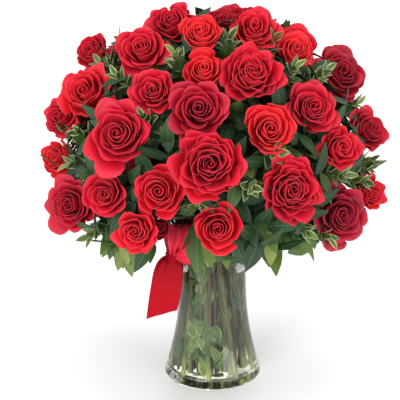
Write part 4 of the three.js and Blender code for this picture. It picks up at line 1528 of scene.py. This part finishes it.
# The camera: where it stands, how far it looks down, and its lens and sensor in mm.
VIEW_PLACE = (-0.0156, -2.295, 0.967)
VIEW_TILT = math.radians(17.90)
VIEW_LENS = 180.0
VIEW_SENSOR = 36.0


def make_floor(settings):
    """A wide pale floor with the faintest cloudy grain."""
    shader = Shader("pale_floor")
    pale = settings.floor_colour
    shader.fill(
        shader.surface,
        Base_Color=shader.mix(shader.noise(4.0, 2.0), pale, [part * 0.985 for part in pale]),
        Roughness=0.6,
        Specular_IOR_Level=0.3,
    )
    mesh = bpy.data.meshes.new("floor")
    corners = [(x * FLOOR_HALF, y * FLOOR_HALF, 0) for x, y in ((-1, -1), (1, -1), (1, 1), (-1, 1))]
    mesh.from_pydata(corners, [], [(0, 1, 2, 3)])
    mesh.materials.append(shader.material)
    floor = bpy.data.objects.new("floor", mesh)
    bpy.context.scene.collection.objects.link(floor)


def make_light(settings):
    """White light from all round, and four square lamps aimed at the dome."""
    scene = bpy.context.scene
    world = bpy.data.worlds.new("studio")
    world.use_nodes = True
    background = world.node_tree.nodes["Background"]
    background.inputs["Color"].default_value = (1.0, 1.0, 1.0, 1.0)
    background.inputs["Strength"].default_value = settings.sky
    scene.world = world
    for name, place, size, setting, share in LAMPS:
        light = bpy.data.lights.new(name, "AREA")
        light.size = size
        light.energy = getattr(settings, setting) * share
        lamp = bpy.data.objects.new(name, light)
        lamp.location = place
        lamp.rotation_euler = direction_to_euler(LAMP_AIM - np.array(place))
        scene.collection.objects.link(lamp)


def make_camera():
    """The camera of the usual view, in front and a little above."""
    camera = bpy.data.cameras.new("camera")
    camera.sensor_width = VIEW_SENSOR
    camera.lens = VIEW_LENS
    camera.clip_end = 100.0
    view = bpy.data.objects.new("camera", camera)
    view.location = VIEW_PLACE
    view.rotation_euler = (math.pi / 2 - VIEW_TILT, 0.0, 0.0)
    bpy.context.scene.collection.objects.link(view)
    bpy.context.scene.camera = view


def make_stage(settings):
    """The floor, the light and the camera."""
    bpy.context.scene.view_settings.view_transform = "Standard"
    make_floor(settings)
    make_light(settings)
    make_camera()


def direction_to_euler(aim):
    """The turn that points -Z along a direction."""
    flat = math.hypot(aim[0], aim[1])
    return (math.atan2(flat, -aim[2]), 0.0, math.atan2(aim[1], aim[0]) - math.pi / 2)


# ---------------------------------------------------------------- settings, operators and panel


class StageSettings(bpy.types.PropertyGroup):
    """Light and floor."""

    sky: bpy.props.FloatProperty(
        name="Sky", description="Strength of the light from all round", default=0.92, min=0
    )
    top: bpy.props.FloatProperty(
        name="Top", description="Power of the lamp above", default=22.0, min=0, unit="POWER"
    )
    key: bpy.props.FloatProperty(
        name="Key", description="Power of the front lamp", default=54.0, min=0, unit="POWER"
    )
    floor_colour: bpy.props.FloatVectorProperty(
        name="Floor", description="Colour of the floor", subtype="COLOR", default=(0.865, 0.865, 0.865)
    )


class VaseSettings(bpy.types.PropertyGroup):
    """Glass and water."""

    glass: bpy.props.FloatVectorProperty(
        name="Glass", description="Tint of the glass", subtype="COLOR", default=(0.985, 0.997, 0.985)
    )
    glass_index: bpy.props.FloatProperty(
        name="Index", description="How strongly the glass bends light", default=1.26, min=1.0, max=2.0
    )
    water: bpy.props.FloatVectorProperty(
        name="Water", description="Tint of the water", subtype="COLOR", default=(0.89, 0.90, 0.76)
    )


class LeafSettings(bpy.types.PropertyGroup):
    """Filling leaves and the greenery in the vase."""

    # Their dark green is painted shade, for the shade deep between the heads.
    deep_leaves: bpy.props.IntProperty(
        name="Deep leaves", description="Dark leaves deep between the heads", default=260, min=1
    )
    outer_leaves: bpy.props.IntProperty(
        name="Outer leaves", description="Smaller leaves near the surface", default=520, min=1
    )
    greenery_stems: bpy.props.IntProperty(
        name="Greenery stems", description="Thin stems in the vase", default=44, min=1
    )


class RoseSettings(bpy.types.PropertyGroup):
    """Heads of petals."""

    fullness: bpy.props.FloatProperty(
        name="Fullness", description="Spread of all the heads' petals", default=1.0, min=0.5
    )
    thickness: bpy.props.FloatProperty(
        name="Petal", description="Thickness of a petal", default=0.00055, min=0.0002, unit="LENGTH"
    )
    darkest: bpy.props.FloatVectorProperty(
        name="Darkest",
        description="Colour of the darkest petals",
        subtype="COLOR",
        default=(0.21, 0.002, 0.018),
    )
    brightest: bpy.props.FloatVectorProperty(
        name="Brightest",
        description="Colour of the brightest petals",
        subtype="COLOR",
        default=(0.98, 0.034, 0.034),
    )


class RibbonSettings(bpy.types.PropertyGroup):
    """The satin."""

    width: bpy.props.FloatProperty(
        name="Width", description="Width of the ribbon", default=0.038, min=0.01, unit="LENGTH"
    )
    thickness: bpy.props.FloatProperty(
        name="Cloth", description="Thickness of the cloth", default=0.0004, min=0.0002, unit="LENGTH"
    )
    # Painted light: the loops get a lighter red than the cloth's own, against the shade they stand in.
    folded: bpy.props.FloatVectorProperty(
        name="Loops", description="Colour of the loops", subtype="COLOR", default=(0.98, 0.045, 0.095)
    )
    # Painted shade: the tails get a darker red than the cloth's own, against the front lamp they face.
    painted_shade_tails: bpy.props.FloatVectorProperty(
        name="Tails", description="Colour of the tails", subtype="COLOR", default=(0.36, 0.004, 0.010)
    )


class Step:
    """What all the operators share."""

    bl_options = {"REGISTER", "UNDO"}


class BOUQUET_OT_stage(Step, bpy.types.Operator):
    """Adds the floor, the lights and the camera"""

    bl_idname = "bouquet.stage"
    bl_label = "Stage"

    def execute(self, context):
        make_stage(context.scene.bouquet_stage)
        return {"FINISHED"}


class BOUQUET_OT_glass(Step, bpy.types.Operator):
    """Adds the glass vase and its water"""

    bl_idname = "bouquet.glass"
    bl_label = "Vase and water"

    def execute(self, context):
        make_vase(glass_material(context.scene.bouquet_vase))
        make_water(water_material(context.scene.bouquet_vase))
        return {"FINISHED"}


class BOUQUET_OT_stems(Step, bpy.types.Operator):
    """Adds the stems, the hips and the sepals"""

    bl_idname = "bouquet.stems"
    bl_label = "Stems and sepals"

    def execute(self, context):
        make_stems(stem_material())
        make_sepals(leaf_material())
        return {"FINISHED"}


class BOUQUET_OT_leaves(Step, bpy.types.Operator):
    """Adds the broad leaves and the variegated sprigs"""

    bl_idname = "bouquet.leaves"
    bl_label = "Leaves"

    def execute(self, context):
        leaf, stem, settings = leaf_material(), stem_material(), context.scene.bouquet_leaves
        make_foliage(leaf, stem, settings)
        make_sprigs(leaf, stem)
        make_vase_greens(leaf, stem, settings)
        return {"FINISHED"}


class BOUQUET_OT_roses(Step, bpy.types.Operator):
    """Adds the heads of petals"""

    bl_idname = "bouquet.roses"
    bl_label = "Roses"

    def execute(self, context):
        settings = context.scene.bouquet_roses
        material = petal_material(settings)
        for head in HEADS:
            make_head(head, material, settings)
        return {"FINISHED"}


class BOUQUET_OT_ribbon(Step, bpy.types.Operator):
    """Adds the ribbon's band, bow and tails"""

    bl_idname = "bouquet.ribbon"
    bl_label = "Ribbon"

    def execute(self, context):
        settings = context.scene.bouquet_ribbon
        make_ribbon(satin_material(settings), settings)
        return {"FINISHED"}


class BOUQUET_PT_panel(bpy.types.Panel):
    """Lists the settings and the steps"""

    bl_label = "Roses in a vase"
    bl_space_type = "VIEW_3D"
    bl_region_type = "UI"
    bl_category = "Bouquet"

    def draw(self, context):
        for group, kind in SETTINGS.items():
            for name in kind.__annotations__:
                self.layout.prop(getattr(context.scene, group), name)
        for step in STEPS:
            self.layout.operator(step.bl_idname)


STEPS = [
    BOUQUET_OT_stage,
    BOUQUET_OT_glass,
    BOUQUET_OT_stems,
    BOUQUET_OT_leaves,
    BOUQUET_OT_roses,
    BOUQUET_OT_ribbon,
]
SETTINGS = {
    "bouquet_stage": StageSettings,
    "bouquet_vase": VaseSettings,
    "bouquet_leaves": LeafSettings,
    "bouquet_roses": RoseSettings,
    "bouquet_ribbon": RibbonSettings,
}
CLASSES = [*SETTINGS.values(), *STEPS, BOUQUET_PT_panel]


def register():
    """Registers the classes and gives the scene a place for each group of settings."""
    for item in CLASSES:
        bpy.utils.register_class(item)
    for name, kind in SETTINGS.items():
        setattr(bpy.types.Scene, name, bpy.props.PointerProperty(type=kind))


def unregister():
    """Takes back what register did, in the opposite order."""
    for name in SETTINGS:
        delattr(bpy.types.Scene, name)
    for item in reversed(CLASSES):
        bpy.utils.unregister_class(item)


def main():
    register()
    bpy.ops.bouquet.stage()
    bpy.ops.bouquet.glass()
    bpy.ops.bouquet.stems()
    bpy.ops.bouquet.leaves()
    bpy.ops.bouquet.roses()
    bpy.ops.bouquet.ribbon()


if __name__ == "__main__":
    main()
